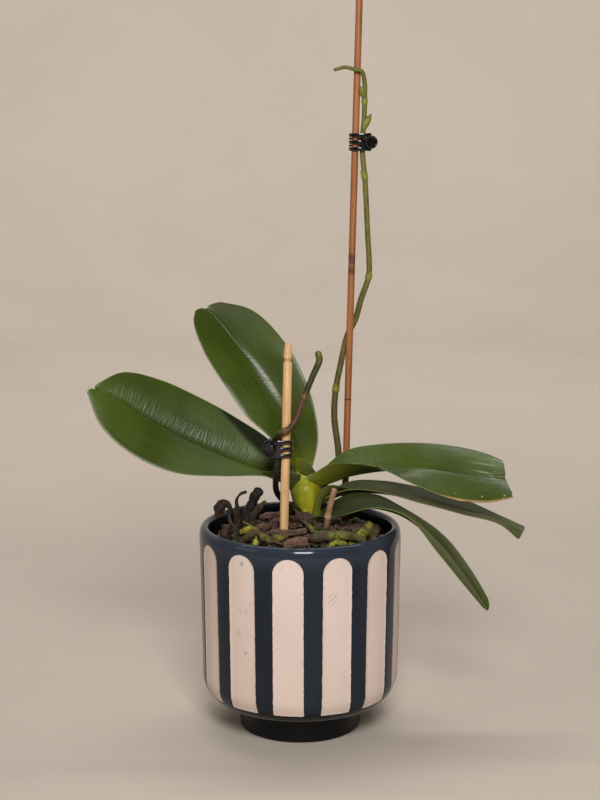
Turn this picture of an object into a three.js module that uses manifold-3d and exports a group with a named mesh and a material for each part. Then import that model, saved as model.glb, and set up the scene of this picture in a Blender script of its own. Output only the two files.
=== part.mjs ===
// Potted orchid: a striped pot on a narrow foot, filled with bark, that holds one orchid with five
// leaves, two flower spikes and its aerial roots, two stakes, and a spring clip on each stake.
// Millimetres, +Z up. The origin is the centre of the pot's foot on the surface that it stands on,
// and the plant is seen from -Y.

import * as THREE from 'three';
import { mergeVertices } from 'three/addons/utils/BufferGeometryUtils.js';
import Module from 'manifold-3d';

const wasm = await Module();
wasm.setup();

// ---------------------------------------------------------------- driving sizes

const GAP = 0.3;              // clearance between pieces that touch

const POT_R = 70;             // widest radius of the pot, just under the lip
const POT_H = 144;            // foot to rim
const POT_WALL = 6.5;
const POT_TAPER = 1.5;        // how much slimmer the body is above its bottom corner
const CORNER_R = 20;          // rounded bottom corner of the body
const LIP_H = 8;              // height of the rounded lip
const FOOT_R = 42.5;
const FOOT_H = 18.5;
const FLOOR = 7;              // thickness of the pot's floor

const BARK_DROP = 12;         // rim down to the bark at the wall
const BARK_MOUND = 10;        // rise of the bark to the middle

const LEAF_THICK = 2.2;       // at the midrib
const LEAF_EDGE = 0.45;       // edge thickness as a share of the midrib's

const TALL_STAKE_R = 2.4;
const TALL_STAKE_TOP = 364;   // above the rim
const SHORT_STAKE_R = 3;
const SHORT_STAKE_TOP = 129;  // above the rim
const STAKE_DEPTH = 85;       // rim down to the stakes' points

const TALL_SPIKE_R = 2.1;
const SHORT_SPIKE_R = 2.1;

const CLIP_H = 12;            // along the stem
const CLIP_WALL = 1.4;
const PIN_R = 0.7;
const LUG_R = 1.5;
const PAD_R = 4.5;            // round thumb pads
const PAD_OUT = 6.8;          // hinge pin out to the middle of a pad
const TALL_CLIP_Z = 261;      // above the rim
const SHORT_CLIP_Z = 57;      // above the rim

// ---------------------------------------------------------------- worked out from them

const INNER_R = POT_R - 1 - POT_WALL;
const BED_R = INNER_R - GAP;
const BED_FLOOR = FOOT_H + FLOOR;
const STEM_SIDES = 8;

// ---------------------------------------------------------------- materials

const finish = (colour, roughness, metalness = 0) =>
  new THREE.MeshStandardMaterial({ color: colour, roughness, metalness });

const GLAZE = finish(0x39434f, 0.15);
const BARK = finish(0x5a4030, 0.95);
const CHIP = finish(0x6d4c37, 0.9);
const MOSS = finish(0x55602a, 1);
const CROWN = finish(0x97a832, 0.5);
const LEAF = finish(0x3d5a1c, 0.35);
const DULL_LEAF = finish(0x56633a, 0.5);
const SPIKE = finish(0x6f7a33, 0.5);
const DRY_SPIKE = finish(0x55432f, 0.7);
const ROOT = finish(0x7a8440, 0.7);
const DARK_ROOT = finish(0x2c2620, 0.8);
const PALE_WOOD = finish(0xd2ad78, 0.65);
const RED_WOOD = finish(0x84492c, 0.6);
const BLACK_PLASTIC = finish(0x121214, 0.3);
const STEEL = finish(0xa9adb2, 0.35, 1);

// ---------------------------------------------------------------- solids

// A closed geometry as a manifold solid, with shared corners merged and thin slivers dropped.
function toSolid(geometry) {
  const bare = geometry.clone();
  bare.deleteAttribute('normal');
  bare.deleteAttribute('uv');
  const merged = mergeVertices(bare, 1e-4);
  const corners = merged.index.array;
  const kept = [];
  for (let i = 0; i < corners.length; i += 3) {
    const [a, b, c] = [corners[i], corners[i + 1], corners[i + 2]];
    if (a !== b && b !== c && c !== a) kept.push(a, b, c);
  }
  return new wasm.Manifold(new wasm.Mesh({
    numProp: 3,
    vertProperties: Float32Array.from(merged.attributes.position.array),
    triVerts: Uint32Array.from(kept),
  }));
}

function toGeometry(solid) {
  const mesh = solid.getMesh();
  const geometry = new THREE.BufferGeometry();
  geometry.setAttribute('position', new THREE.BufferAttribute(mesh.vertProperties, 3));
  geometry.setIndex(new THREE.BufferAttribute(mesh.triVerts, 1));
  geometry.computeVertexNormals();
  return geometry;
}

const joined = (solids) => solids.reduce((whole, solid) => whole.add(solid));
const cut = (solid, tools) => tools.reduce((left, tool) => left.subtract(tool), solid);

// A skin over rings of points, all of one length, with a fan of faces over each end.
function loft(rings) {
  const sides = rings[0].length;
  const points = rings.flat();
  const faces = [];
  for (let ring = 0; ring < rings.length - 1; ring += 1) {
    for (let side = 0; side < sides; side += 1) {
      const here = ring * sides + side;
      const next = ring * sides + (side + 1) % sides;
      faces.push(here, next, next + sides, here, next + sides, here + sides);
    }
  }
  const middle = (ring) => ring.reduce((sum, p) => sum.add(p), new THREE.Vector3()).divideScalar(sides);
  const last = (rings.length - 1) * sides;
  points.push(middle(rings[0]), middle(rings[rings.length - 1]));
  for (let side = 0; side < sides; side += 1) {
    const next = (side + 1) % sides;
    faces.push(points.length - 2, next, side, points.length - 1, last + side, last + next);
  }
  const volume = (corners) => {
    let sum = 0;
    for (let i = 0; i < corners.length; i += 3) {
      const [a, b, c] = [points[corners[i]], points[corners[i + 1]], points[corners[i + 2]]];
      sum += a.dot(b.clone().cross(c));
    }
    return sum;
  };
  if (volume(faces) < 0) faces.reverse();
  const geometry = new THREE.BufferGeometry().setFromPoints(points);
  geometry.setIndex(faces);
  return geometry;
}

// A point of the plant: x and y from the pot's axis, and a height above the rim.
const at = (x, y, height) => new THREE.Vector3(x, y, POT_H + height);

// A round stem along a curve through points, with its radius at even steps from foot to tip.
function stem(points, radii, grow = 0, steps = points.length * 3) {
  const curve = new THREE.CatmullRomCurve3(points);
  const frames = curve.computeFrenetFrames(steps, false);
  const rings = [];
  for (let step = 0; step <= steps; step += 1) {
    const along = step / steps;
    const place = along * (radii.length - 1);
    const low = Math.min(Math.floor(place), radii.length - 2);
    const radius = THREE.MathUtils.lerp(radii[low], radii[low + 1], place - low) + grow;
    const centre = curve.getPointAt(along);
    rings.push(Array.from({ length: STEM_SIDES }, (_, side) => {
      const angle = side / STEM_SIDES * 2 * Math.PI;
      return centre.clone()
        .addScaledVector(frames.normals[step], radius * Math.cos(angle))
        .addScaledVector(frames.binormals[step], radius * Math.sin(angle));
    }));
  }
  return toSolid(loft(rings));
}

// ---------------------------------------------------------------- pot and bark

function pot() {
  const bodyR = POT_R - POT_TAPER;
  const path = new THREE.Path();
  path.moveTo(0, 0);
  path.lineTo(FOOT_R - 1, 0);
  path.lineTo(FOOT_R, 1);
  path.lineTo(FOOT_R, FOOT_H);
  path.lineTo(bodyR - CORNER_R, FOOT_H);
  path.absarc(bodyR - CORNER_R, FOOT_H + CORNER_R, CORNER_R, -Math.PI / 2, 0, false);
  path.lineTo(POT_R, POT_H - LIP_H);
  path.quadraticCurveTo(POT_R, POT_H, INNER_R + POT_WALL / 2, POT_H);
  path.quadraticCurveTo(INNER_R, POT_H, INNER_R, POT_H - LIP_H);
  path.lineTo(INNER_R, BED_FLOOR);
  path.lineTo(0, BED_FLOOR);
  return toSolid(turned(path.getPoints(3), 48));
}

// A profile of x = radius and y = height, turned round the Z axis.
function turned(profile, segments) {
  return new THREE.LatheGeometry(profile, segments).rotateX(Math.PI / 2);
}

// Height of the bark's surface above the rim, at a distance from the pot's axis.
const barkLevel = (radius) =>
  -BARK_DROP + BARK_MOUND * Math.cos(Math.min(radius / BED_R, 1) * Math.PI / 2);

function bark() {
  const profile = [new THREE.Vector2(0, BED_FLOOR + GAP), new THREE.Vector2(BED_R, BED_FLOOR + GAP)];
  for (let step = 5; step >= 0; step -= 1) {
    const radius = BED_R * step / 5;
    profile.push(new THREE.Vector2(radius, POT_H + barkLevel(radius)));
  }
  return toSolid(turned(profile, 36));
}

// ---------------------------------------------------------------- crown and leaves

// Rings of the crown: height above the rim, middle in x, half width in x, half depth in y.
const CROWN_Y = 15;
const CROWN_RINGS = [
  [-34, 6, 4.5, 4.5], [-8, 6.5, 6.5, 6], [6, 6.3, 7.2, 6.5], [16, 4, 8, 7],
  [24, 2.5, 8.8, 7.5], [31, 3.5, 7, 6], [36, 5, 3.5, 3],
];

function crown(grow = 0) {
  const rings = CROWN_RINGS.map(([height, x, halfWidth, halfDepth]) =>
    Array.from({ length: 14 }, (_, side) => {
      const angle = side / 14 * 2 * Math.PI;
      return at(
        x + (halfWidth + grow) * Math.cos(angle),
        CROWN_Y + (halfDepth + grow) * Math.sin(angle),
        height + (height === 36 ? grow : 0),
      );
    }));
  return toSolid(loft(rings));
}

// Each leaf has three rails from its base to its tip, as seen looking along it with its upper
// side up: the left edge, the midrib and the right edge. Heights are above the rim.
const LEAVES = {
  leaf_left: {
    left: [
      [-2, 11, 24], [-24, -1, 34], [-52, -10, 36], [-84, -14, 39],
      [-112, -15, 51], [-133, -12, 70], [-143, -5, 90],
    ],
    rib: [
      [-1, 14, 26], [-24, 14, 34], [-50, 11, 45], [-78, 8, 58],
      [-104, 5, 73], [-126, 2, 89], [-141, -2, 96],
    ],
    right: [
      [0, 17, 30], [-20, 25, 53], [-42, 28, 68], [-68, 28, 83],
      [-96, 23, 97], [-122, 15, 104], [-139, 4, 98],
    ],
  },
  leaf_back_left: {
    left: [
      [0, 18, 24], [-19, 31, 52], [-38, 38, 69], [-55, 45, 92],
      [-69, 52, 114], [-76, 59, 133], [-73, 65, 142],
    ],
    rib: [
      [3, 18, 24], [-3, 37, 56], [-16, 44, 78], [-31, 52, 99],
      [-47, 60, 119], [-61, 65, 136], [-69, 68, 143],
    ],
    right: [
      [6, 18, 25], [13, 37, 53], [10, 47, 74], [3, 56, 94],
      [-11, 65, 118], [-34, 72, 140], [-60, 72, 147],
    ],
  },
  leaf_upper_right: {
    left: [
      [7, 17, 26], [32, 27, 46], [58, 31, 50], [86, 33, 51],
      [112, 32, 48], [134, 28, 43], [145, 24, 39],
    ],
    rib: [
      [7, 15, 24], [33, 17, 36], [57, 18, 37], [84, 17, 34],
      [110, 13, 31], [130, 10, 29], [145.4, 9, 28],
    ],
    right: [
      [7, 13, 25], [33, 10, 40], [55, 7, 38], [80, 2, 27],
      [104, -5, 19], [126, -8, 17], [146, -8, 21],
    ],
  },
  leaf_mid_right: {
    left: [
      [9, 17, 12], [34, 25, 24], [60, 31, 24], [86, 34, 18],
      [112, 36, 11], [138, 36, 1], [155, 30, -9],
    ],
    rib: [
      [9, 15, 11], [33, 17, 20], [59, 20, 19], [85, 22, 13],
      [112, 23, 5], [139, 24, -4], [157, 23, -12],
    ],
    right: [
      [9, 13, 12], [33, 10, 22], [58, 10, 20], [84, 10, 13],
      [112, 11, 5], [140, 13, -3], [154, 16, -13],
    ],
  },
  leaf_lower_right: {
    left: [
      [10, 14, 3], [32, 6, 19], [52, 6, 20], [72, 5, 10],
      [97, 4, -6], [118, 3, -31], [133, -5, -56],
    ],
    rib: [
      [9, 11, 2], [29, -3, 12], [50, -10, 16], [72, -11, 10],
      [96, -12, -10], [115, -12, -34], [131, -11, -59],
    ],
    right: [
      [8, 9, 3], [25, -11, 8], [51, -27, 18], [73, -30, 12],
      [94, -30, -13], [112, -27, -36], [128, -17, -57],
    ],
  },
};
const LEAF_STEPS = 13;
const HALF_COLUMNS = 2;       // columns of points on each half of a leaf

// The drooping leaf bends over the rim, so what lies past its base moves out with the pot.
const DROOP_BASE = 10;
const DROOP = (POT_R - DROOP_BASE) / (70 - DROOP_BASE);
for (const rail of Object.values(LEAVES.leaf_lower_right)) {
  for (const point of rail) {
    point[0] = DROOP_BASE + (point[0] - DROOP_BASE) * DROOP;
  }
}

function leaf({ left, rib, right }, grow = 0) {
  const rail = (points) => new THREE.CatmullRomCurve3(points.map((p) => at(...p)), false, 'centripetal');
  const [leftRail, ribRail, rightRail] = [rail(left), rail(rib), rail(right)];
  const rings = [];
  for (let step = 0; step <= LEAF_STEPS; step += 1) {
    const t = step / LEAF_STEPS;
    const [edgeL, middle, edgeR] = [leftRail.getPoint(t), ribRail.getPoint(t), rightRail.getPoint(t)];
    const up = edgeR.clone().sub(edgeL).cross(ribRail.getTangent(t)).normalize();
    const upper = [];
    const under = [];
    for (let column = -HALF_COLUMNS; column <= HALF_COLUMNS; column += 1) {
      const across = Math.abs(column) / HALF_COLUMNS;
      const edge = column < 0 ? edgeL : edgeR;
      const bulge = edge.distanceTo(middle) * 0.3 * across * (1 - across);
      const thick = LEAF_THICK * (1 - (1 - LEAF_EDGE) * across ** 2);
      const point = middle.clone().lerp(edge, across).addScaledVector(up, bulge);
      upper.push(point.clone().addScaledVector(up, grow));
      under.unshift(point.clone().addScaledVector(up, -thick - grow));
    }
    rings.push([...upper, ...under]);
  }
  return toSolid(loft(rings));
}

// ---------------------------------------------------------------- stakes

// A stake's axis: its middle in x and y at the rim, and how far it leans in x per unit of height.
const TALL_STAKE = { x: 31.9, y: 33.5, lean: 0.0232 };
const SHORT_STAKE = { x: -11, y: -18, lean: 0.0235 };

const stakeAxis = (stake, height) => at(stake.x + stake.lean * height, stake.y, height);

function stake(place, profile) {
  const solid = toSolid(turned(profile, 16));
  const tilt = Math.atan(place.lean) * 180 / Math.PI;
  return solid.rotate([0, tilt, 0]).translate([place.x, place.y, POT_H]);
}

// Both stakes come to a blunt point in the bark.
const stakePoint = (radius) => [
  new THREE.Vector2(0, -STAKE_DEPTH),
  new THREE.Vector2(radius * 0.5, -STAKE_DEPTH),
  new THREE.Vector2(radius, -STAKE_DEPTH + 2 * radius),
];

function tallStake(grow = 0) {
  const radius = TALL_STAKE_R + grow;
  return stake(TALL_STAKE, [
    ...stakePoint(radius),
    new THREE.Vector2(radius, TALL_STAKE_TOP - 1),
    new THREE.Vector2(radius - 1, TALL_STAKE_TOP),
    new THREE.Vector2(0, TALL_STAKE_TOP),
  ]);
}

// The short stake has a turned groove below a tapered head.
function shortStake(grow = 0) {
  const radius = SHORT_STAKE_R + grow;
  const head = SHORT_STAKE_TOP;
  return stake(SHORT_STAKE, [
    ...stakePoint(radius),
    new THREE.Vector2(radius, head - 14),
    new THREE.Vector2(radius * 0.72, head - 13),
    new THREE.Vector2(radius * 0.72, head - 11),
    new THREE.Vector2(radius, head - 10),
    new THREE.Vector2(radius * 0.7, head - 1),
    new THREE.Vector2(radius * 0.4, head),
    new THREE.Vector2(0, head),
  ]);
}

// ---------------------------------------------------------------- flower spikes

// A point of a spike that leans on a stake: on the side that faces angle (degrees from +X
// towards +Y), at a height above the rim, with a space beyond touching.
function beside(stakePlace, stakeR, spikeR, angle, height, space) {
  const reach = stakeR + spikeR + space;
  const turn = THREE.MathUtils.degToRad(angle);
  return stakeAxis(stakePlace, height).add(
    new THREE.Vector3(reach * Math.cos(turn), reach * Math.sin(turn), 0),
  );
}

const byTall = (angle, height, space) =>
  beside(TALL_STAKE, TALL_STAKE_R, TALL_SPIKE_R, angle, height, space);
const byShort = (angle, height, space) =>
  beside(SHORT_STAKE, SHORT_STAKE_R, SHORT_SPIKE_R, angle, height, space);

const CLIP_SPACE = 0.6;       // between a stake and its spike inside the clip

const TALL_ROUTE = [
  at(9, 18, 8), at(17, 31, 20), byTall(158, 34, 1.5), byTall(158, 44, 1.6), byTall(160, 68, 5.2),
  byTall(157, 87, 5), byTall(140, 109, 2.2), byTall(105, 126, 1.5), byTall(50, 138, 1.5),
  byTall(20, 152, 3.2), byTall(0, 169, 7.6), byTall(0, 181, 7.4), byTall(0, 197, 6), byTall(0, 216, 4.6),
  byTall(0, 235, 3), byTall(0, TALL_CLIP_Z - CLIP_H / 2, CLIP_SPACE),
  byTall(0, TALL_CLIP_Z + CLIP_H / 2, CLIP_SPACE), byTall(-6, 277, 1.2), byTall(-12, 290, 1.2),
  byTall(-22, 301, 1.1), byTall(-62, 308.5, 1.3), byTall(-112, 309.8, 1.4), byTall(-150, 311.2, 5),
  byTall(-158, 309.6, 12),
];
const TALL_RADII = [1.2, 1.15, 1.1, 1.05, 1, 1, 0.95, 0.9, 0.9, 0.85, 0.8, 0.55];

const SHORT_ROUTE = [
  at(1, 11, 5), at(-9, 4, 13), at(-14, 0, 19), at(-16.5, -7, 26), byShort(165, 42, 1.1),
  byShort(180, SHORT_CLIP_Z - CLIP_H / 2, CLIP_SPACE),
  byShort(184, SHORT_CLIP_Z + CLIP_H / 2, CLIP_SPACE), byShort(228, 68, 1.1), byShort(284, 71, 1.2),
  at(-2, -22.5, 79), at(1, -20.5, 88), at(4, -19, 95), at(8.5, -17.5, 106), at(13, -16.5, 117),
  at(12.3, -16, 121),
];
const SHORT_RADII = [1, 1, 1, 1, 1, 0.95, 0.95, 1.1];

const OLD_STUB = [at(11, 11, -6), at(15, -3, -5), at(18, -13, 1), at(19.5, -16, 11), at(23.5, -16, 28)];
const OLD_STUB_R = 2;

// Buds stand on the tall spike above its clip: two points and two radii each.
const BUDS = [
  [[byTall(-4, 270.5, 1), byTall(0, 279.5, 5.6)], [2.2, 1.6]],
  [[byTall(-22, 292, 0.9), byTall(-62, 298, 0.8)], [2.2, 1.7]],
];

function tallSpike(grow = 0) {
  const radii = TALL_RADII.map((share) => share * TALL_SPIKE_R);
  const axis = stem(TALL_ROUTE, radii, grow, 46);
  return joined([axis, ...BUDS.map(([points, widths]) => stem(points, widths, grow, 2))]);
}

function shortSpike(grow = 0) {
  return stem(SHORT_ROUTE, SHORT_RADII.map((share) => share * SHORT_SPIKE_R), grow, 24);
}

function oldStub(grow = 0) {
  return stem(OLD_STUB, [OLD_STUB_R, OLD_STUB_R], grow, 8);
}

// ---------------------------------------------------------------- roots, chips and moss

// What lies on the bark keeps its share of the bed's radius when the pot changes.
const FILL = INNER_R / 62.5;
const on = (x, y, height) => at(x * FILL, y * FILL, height);

const ROOTS = {
  root_hook: {
    points: [[-49, -12, -12], [-49, -12, 2], [-50, -12, 9], [-53, -12, 16], [-57, -12, 14], [-56, -13, 8]],
    radii: [2.6, 2.6, 2.4, 1.7],
  },
  root_thin_hook: {
    points: [[-46, -3, -12], [-45, -3, 8], [-44, -3, 18], [-38, -2, 24]],
    radii: [1.5, 1.4, 1.1],
  },
  root_black: {
    points: [[-38, 8, -12], [-37, 7, 2], [-33, 6, 13], [-28, 4, 24]],
    radii: [2.6, 2.6, 2.2],
  },
  root_olive_short: {
    points: [[-35, -4, -12], [-32, -5, 4], [-25, -6, 13]],
    radii: [2.3, 2.3, 1.9],
  },
  root_grey: {
    points: [[-44, -24, -14], [-45, -23, -4], [-46, -22, 5]],
    radii: [2.5, 2.5, 2.1],
  },
  root_yellow: {
    points: [[-42, -17, -3], [-37, -18, 1], [-31, -17, 0], [-26, -16, -6]],
    radii: [1.9, 2.2, 2.2, 1.9],
  },
  root_twisted: {
    points: [[-33, -32, -3], [-28, -34, 3], [-19, -35, -3], [-12, -37, 0], [-8, -39, -6]],
    radii: [2, 2.4, 2.4, 2],
  },
  root_olive_low: {
    points: [[-40, -36, -8], [-36, -38, -3], [-29, -39, 2], [-23, -41, -5]],
    radii: [2.2, 2.4, 2],
  },
  root_straw: {
    points: [[-41, -9, 3], [-35, -11, 2], [-29, -12, -3]],
    radii: [0.9, 0.9, 0.7],
  },
  root_green_long: {
    points: [[4, -35, -7], [10, -36, -1], [24, -36, 1], [38, -34, 0], [44, -32, -7]],
    radii: [2.6, 3.1, 3.1, 2.6],
  },
  root_green_short: {
    points: [[34, -27, -9], [40, -26, -2], [48, -24, 6]],
    radii: [2.7, 2.9, 2.5],
  },
  root_yellow_green: {
    points: [[18, -46, -8], [26, -45, -4], [34, -42, -8]],
    radii: [1.8, 2.2, 1.8],
  },
  root_back: {
    points: [[20, 22, -8], [12, 36, -1], [-6, 44, -2], [-22, 46, -10]],
    radii: [2.6, 2.8, 2.6],
  },
};

const root = ({ points, radii }, grow = 0) =>
  stem(points.map((p) => on(...p)), radii, grow, points.length * 2);

// Chips of bark: middle (x, y, height above the rim), length, width and thickness, turns in degrees.
const CHIPS = [
  [[37, 4, -5], [19, 11, 5], [10, -8, 25]],
  [[1, -46, -6], [17, 9, 5], [14, 6, -10]],
  [[1, 0, 1.5], [13, 8, 5], [16, 12, -14]],
  [[52, 3, -7], [13, 7, 5], [20, -28, 70]],
  [[-10, -27, -1], [18, 7, 4], [8, -5, -6]],
  [[-20, 28, -2], [18, 12, 5], [-12, 6, 35]],
  [[44, 30, -8], [14, 10, 5], [0, 14, -20]],
  [[25, -20, -4], [10, 8, 5], [6, -12, 40]],
  [[-50, 18, -8], [15, 10, 5], [10, 12, 60]],
];

// A chip is a slab whose upper face is shorter than its lower one.
function chip([middle, [length, width, thick], turns], grow = 0) {
  const slab = new THREE.BoxGeometry(length + 2 * grow, width + 2 * grow, thick + 2 * grow);
  const corners = slab.attributes.position;
  for (let i = 0; i < corners.count; i += 1) {
    if (corners.getZ(i) > 0) corners.setX(i, corners.getX(i) - Math.sign(corners.getX(i)) * 2);
  }
  return toSolid(slab).rotate(turns).translate(on(...middle).toArray());
}

const MOSS_AT = [14, -20, -1];

function mossTuft(grow = 0) {
  const dome = new THREE.SphereGeometry(1, 10, 6).scale(5 + grow, 4 + grow, 3 + grow);
  return toSolid(dome).translate(on(...MOSS_AT).toArray());
}

// ---------------------------------------------------------------- spring clips

// A clip's own frame: the hinge pin along Z at the origin, the claws towards +X round the stems,
// the front jaw on +Y and the back jaw on -Y. The claws clear the thicker of stake and spike.
const CLIP_HALF = CLIP_H / 2;
const BACK_SHARE = 0.55;      // width of a back finger as a share of a front one's
const FINGER_W = (CLIP_H - 4 * GAP) / (3 + 2 * BACK_SHARE);
const BACK_AT = FINGER_W / 2 + GAP;
const FINGERS = {
  front: [
    [-CLIP_HALF, -CLIP_HALF + FINGER_W], [-FINGER_W / 2, FINGER_W / 2], [CLIP_HALF - FINGER_W, CLIP_HALF],
  ],
  back: [
    [-BACK_AT - BACK_SHARE * FINGER_W, -BACK_AT], [BACK_AT, BACK_AT + BACK_SHARE * FINGER_W],
  ],
};

// Along the pin: a front lug, a back lug, the coil, a back lug and a front lug.
const LUG_W = CLIP_H * 0.15;
const COIL_HALF = CLIP_HALF - 2 * LUG_W - 2 * GAP;
const LUGS = {
  front: [[-CLIP_HALF, -CLIP_HALF + LUG_W], [CLIP_HALF - LUG_W, CLIP_HALF]],
  back: [[-COIL_HALF - GAP - LUG_W, -COIL_HALF - GAP], [COIL_HALF + GAP, COIL_HALF + GAP + LUG_W]],
};

function clipSizes(stakeR, spikeR) {
  const spikeX = LUG_R + GAP + spikeR + 0.2;
  const stakeX = spikeX + spikeR + stakeR + CLIP_SPACE;
  return { spikeX, half: Math.max(stakeR, spikeR) + 2 * GAP, tipX: stakeX + stakeR + 2 * GAP };
}

// One claw as a plan outline: it swells round the stems and its tip turns past the middle line.
function clawPlan({ half, tipX }) {
  const inner = new THREE.CatmullRomCurve3([
    new THREE.Vector3(-1.5, LUG_R + GAP, 0), new THREE.Vector3(2.5, half + 0.2, 0),
    new THREE.Vector3(tipX * 0.6, half + 0.3, 0), new THREE.Vector3(tipX - 1, half * 0.72, 0),
    new THREE.Vector3(tipX, 0, 0), new THREE.Vector3(tipX - 0.2, -1.4, 0),
  ]).getPoints(9);
  const outer = inner.map((point, i) => {
    const ahead = inner[Math.min(i + 1, inner.length - 1)];
    const behind = inner[Math.max(i - 1, 0)];
    const along = ahead.clone().sub(behind).normalize();
    return new THREE.Vector3(point.x - along.y * CLIP_WALL, point.y + along.x * CLIP_WALL, 0);
  });
  const corners = [...inner, ...outer.reverse()];
  return new THREE.Shape(corners.map((p) => new THREE.Vector2(p.x, p.y)));
}

function slab(shape, low, high) {
  const raised = new THREE.ExtrudeGeometry(shape, { depth: high - low, bevelEnabled: false });
  return toSolid(raised.translate(0, 0, low));
}

function barrel(radius, low, high, sides = 10) {
  const round = new THREE.CylinderGeometry(radius, radius, high - low, sides);
  return toSolid(round.rotateX(Math.PI / 2).translate(0, 0, (low + high) / 2));
}

function block([x0, x1], [y0, y1], [z0, z1]) {
  const box = new THREE.BoxGeometry(x1 - x0, y1 - y0, z1 - z0);
  return toSolid(box.translate((x0 + x1) / 2, (y0 + y1) / 2, (z0 + z1) / 2));
}

// The jaw with its claws on the +Y side; the back jaw is the same thing mirrored in Y.
function jaw(side, sizes) {
  const claw = clawPlan(sizes);
  const plateEnd = sizes.tipX * 0.55;
  const plate = slab(claw, -CLIP_HALF, CLIP_HALF)
    .intersect(block([-1.5, plateEnd], [0, 12], [-CLIP_HALF, CLIP_HALF]));
  const fingers = FINGERS[side].map(([low, high]) => slab(claw, low, high));
  const lugs = LUGS[side].flatMap(([low, high]) => [
    barrel(LUG_R, low, high),
    block([-1.4, 1.4], [0, LUG_R + GAP + 0.6], [low, high]),
  ]);
  const arm = block([-1.2, 1.2], [LUG_R + GAP, PAD_OUT], [-2.6, 2.6]).rotate([0, 0, 15]);
  const disc = barrel(PAD_R, -0.8, 0.8, 14).rotate([90, 0, 0]);
  const pad = disc.rotate([0, 0, 18]).translate([-1.6, PAD_OUT, 0]);
  const keepOff = block([-3, 3], [-3, LUG_R + GAP], [-CLIP_HALF, CLIP_HALF]);
  const body = joined([plate, ...fingers, cut(arm, [keepOff]), pad, ...lugs]);
  const bored = cut(body, [barrel(PIN_R + GAP, -CLIP_H, CLIP_H)]);
  return side === 'back' ? bored.mirror([0, 1, 0]) : bored;
}

// The pin and the coil of the torsion spring that closes the jaws.
function clipSpring() {
  const pinHalf = CLIP_HALF + GAP;
  return barrel(PIN_R, -pinHalf, pinHalf).add(barrel(LUG_R, -COIL_HALF, COIL_HALF));
}

// Each clip hinges beside its spike, with its claws towards the stake.
const CLIPS = {
  clip_upper: {
    stake: TALL_STAKE, stakeR: TALL_STAKE_R, spikeR: TALL_SPIKE_R, height: TALL_CLIP_Z, claws: -1,
  },
  clip_lower: {
    stake: SHORT_STAKE, stakeR: SHORT_STAKE_R, spikeR: SHORT_SPIKE_R, height: SHORT_CLIP_Z, claws: 1,
  },
};

function placeClip(solid, { stake: leaning, stakeR, spikeR, height, claws }) {
  const stakeX = clipSizes(stakeR, spikeR).spikeX + spikeR + stakeR + CLIP_SPACE;
  const hinge = stakeAxis(leaning, height);
  hinge.x -= claws * stakeX;
  const turned180 = claws < 0 ? solid.rotate([0, 0, 180]) : solid.rotate([180, 0, 0]);
  return turned180.translate(hinge.toArray());
}

// ---------------------------------------------------------------- assembly

const orchid = new THREE.Group();
orchid.name = 'potted_orchid';

function add(name, solid, material) {
  const mesh = new THREE.Mesh(toGeometry(solid), material);
  mesh.name = name;
  orchid.add(mesh);
}

add('pot', pot(), GLAZE);
const planted = [
  crown(GAP), tallStake(GAP), shortStake(GAP), tallSpike(GAP), oldStub(GAP),
  ...Object.values(ROOTS).map((piece) => root(piece, GAP)),
  ...CHIPS.map((piece) => chip(piece, GAP)),
  mossTuft(GAP),
];
add('bark_bed', cut(bark(), planted), BARK);
CHIPS.forEach((piece, i) => add(`bark_chip_${i + 1}`, chip(piece), CHIP));
add('moss_tuft', mossTuft(), MOSS);

add('crown', crown(), CROWN);
for (const [name, rails] of Object.entries(LEAVES)) {
  add(name, cut(leaf(rails), [crown(GAP)]), name === 'leaf_mid_right' ? DULL_LEAF : LEAF);
}
add('flower_spike_tall', cut(tallSpike(), [crown(GAP)]), SPIKE);
add('flower_spike_short', cut(shortSpike(), [crown(GAP)]), DRY_SPIKE);
add('old_spike_stub', cut(oldStub(), [crown(GAP)]), DRY_SPIKE);
for (const [name, piece] of Object.entries(ROOTS)) {
  add(name, cut(root(piece), [crown(GAP)]), name === 'root_black' ? DARK_ROOT : ROOT);
}

add('stake_tall', tallStake(), RED_WOOD);
add('stake_short', shortStake(), PALE_WOOD);
for (const [name, place] of Object.entries(CLIPS)) {
  const sizes = clipSizes(place.stakeR, place.spikeR);
  add(`${name}_front_jaw`, placeClip(jaw('front', sizes), place), BLACK_PLASTIC);
  add(`${name}_back_jaw`, placeClip(jaw('back', sizes), place), BLACK_PLASTIC);
  add(`${name}_spring`, placeClip(clipSpring(), place), STEEL);
}

export default orchid;
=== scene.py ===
import math
import random

import bmesh
import bpy
from bpy.props import FloatProperty, FloatVectorProperty, IntProperty, PointerProperty
from mathutils import Matrix, Vector, noise


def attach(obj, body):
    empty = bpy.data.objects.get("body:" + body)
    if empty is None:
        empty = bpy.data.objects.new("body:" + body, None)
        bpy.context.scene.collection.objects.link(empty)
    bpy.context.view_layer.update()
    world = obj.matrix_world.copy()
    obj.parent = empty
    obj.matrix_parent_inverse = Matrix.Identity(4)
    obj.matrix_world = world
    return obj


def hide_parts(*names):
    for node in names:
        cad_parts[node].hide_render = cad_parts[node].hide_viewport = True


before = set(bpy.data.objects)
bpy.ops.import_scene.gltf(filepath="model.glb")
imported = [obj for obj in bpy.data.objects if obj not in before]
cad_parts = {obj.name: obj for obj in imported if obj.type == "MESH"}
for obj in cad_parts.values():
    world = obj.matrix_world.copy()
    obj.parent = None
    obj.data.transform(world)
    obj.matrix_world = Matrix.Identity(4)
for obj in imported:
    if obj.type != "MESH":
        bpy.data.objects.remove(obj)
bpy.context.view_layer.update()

bl_info = {
    "name": "Potted orchid",
    "version": (1, 0, 0),
    "blender": (4, 5, 0),
    "location": "3D View > Sidebar > Orchid",
    "description": "Builds a striped pot with an orchid, its roots, stakes and spring clips",
    "category": "Object",
}

# Sizes below are in millimetres, as the frame's own are, and become metres in Skin.piece.
MM = 0.001
TURN = 2 * math.pi

# ---------------------------------------------------------------- the frame's sizes

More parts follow.
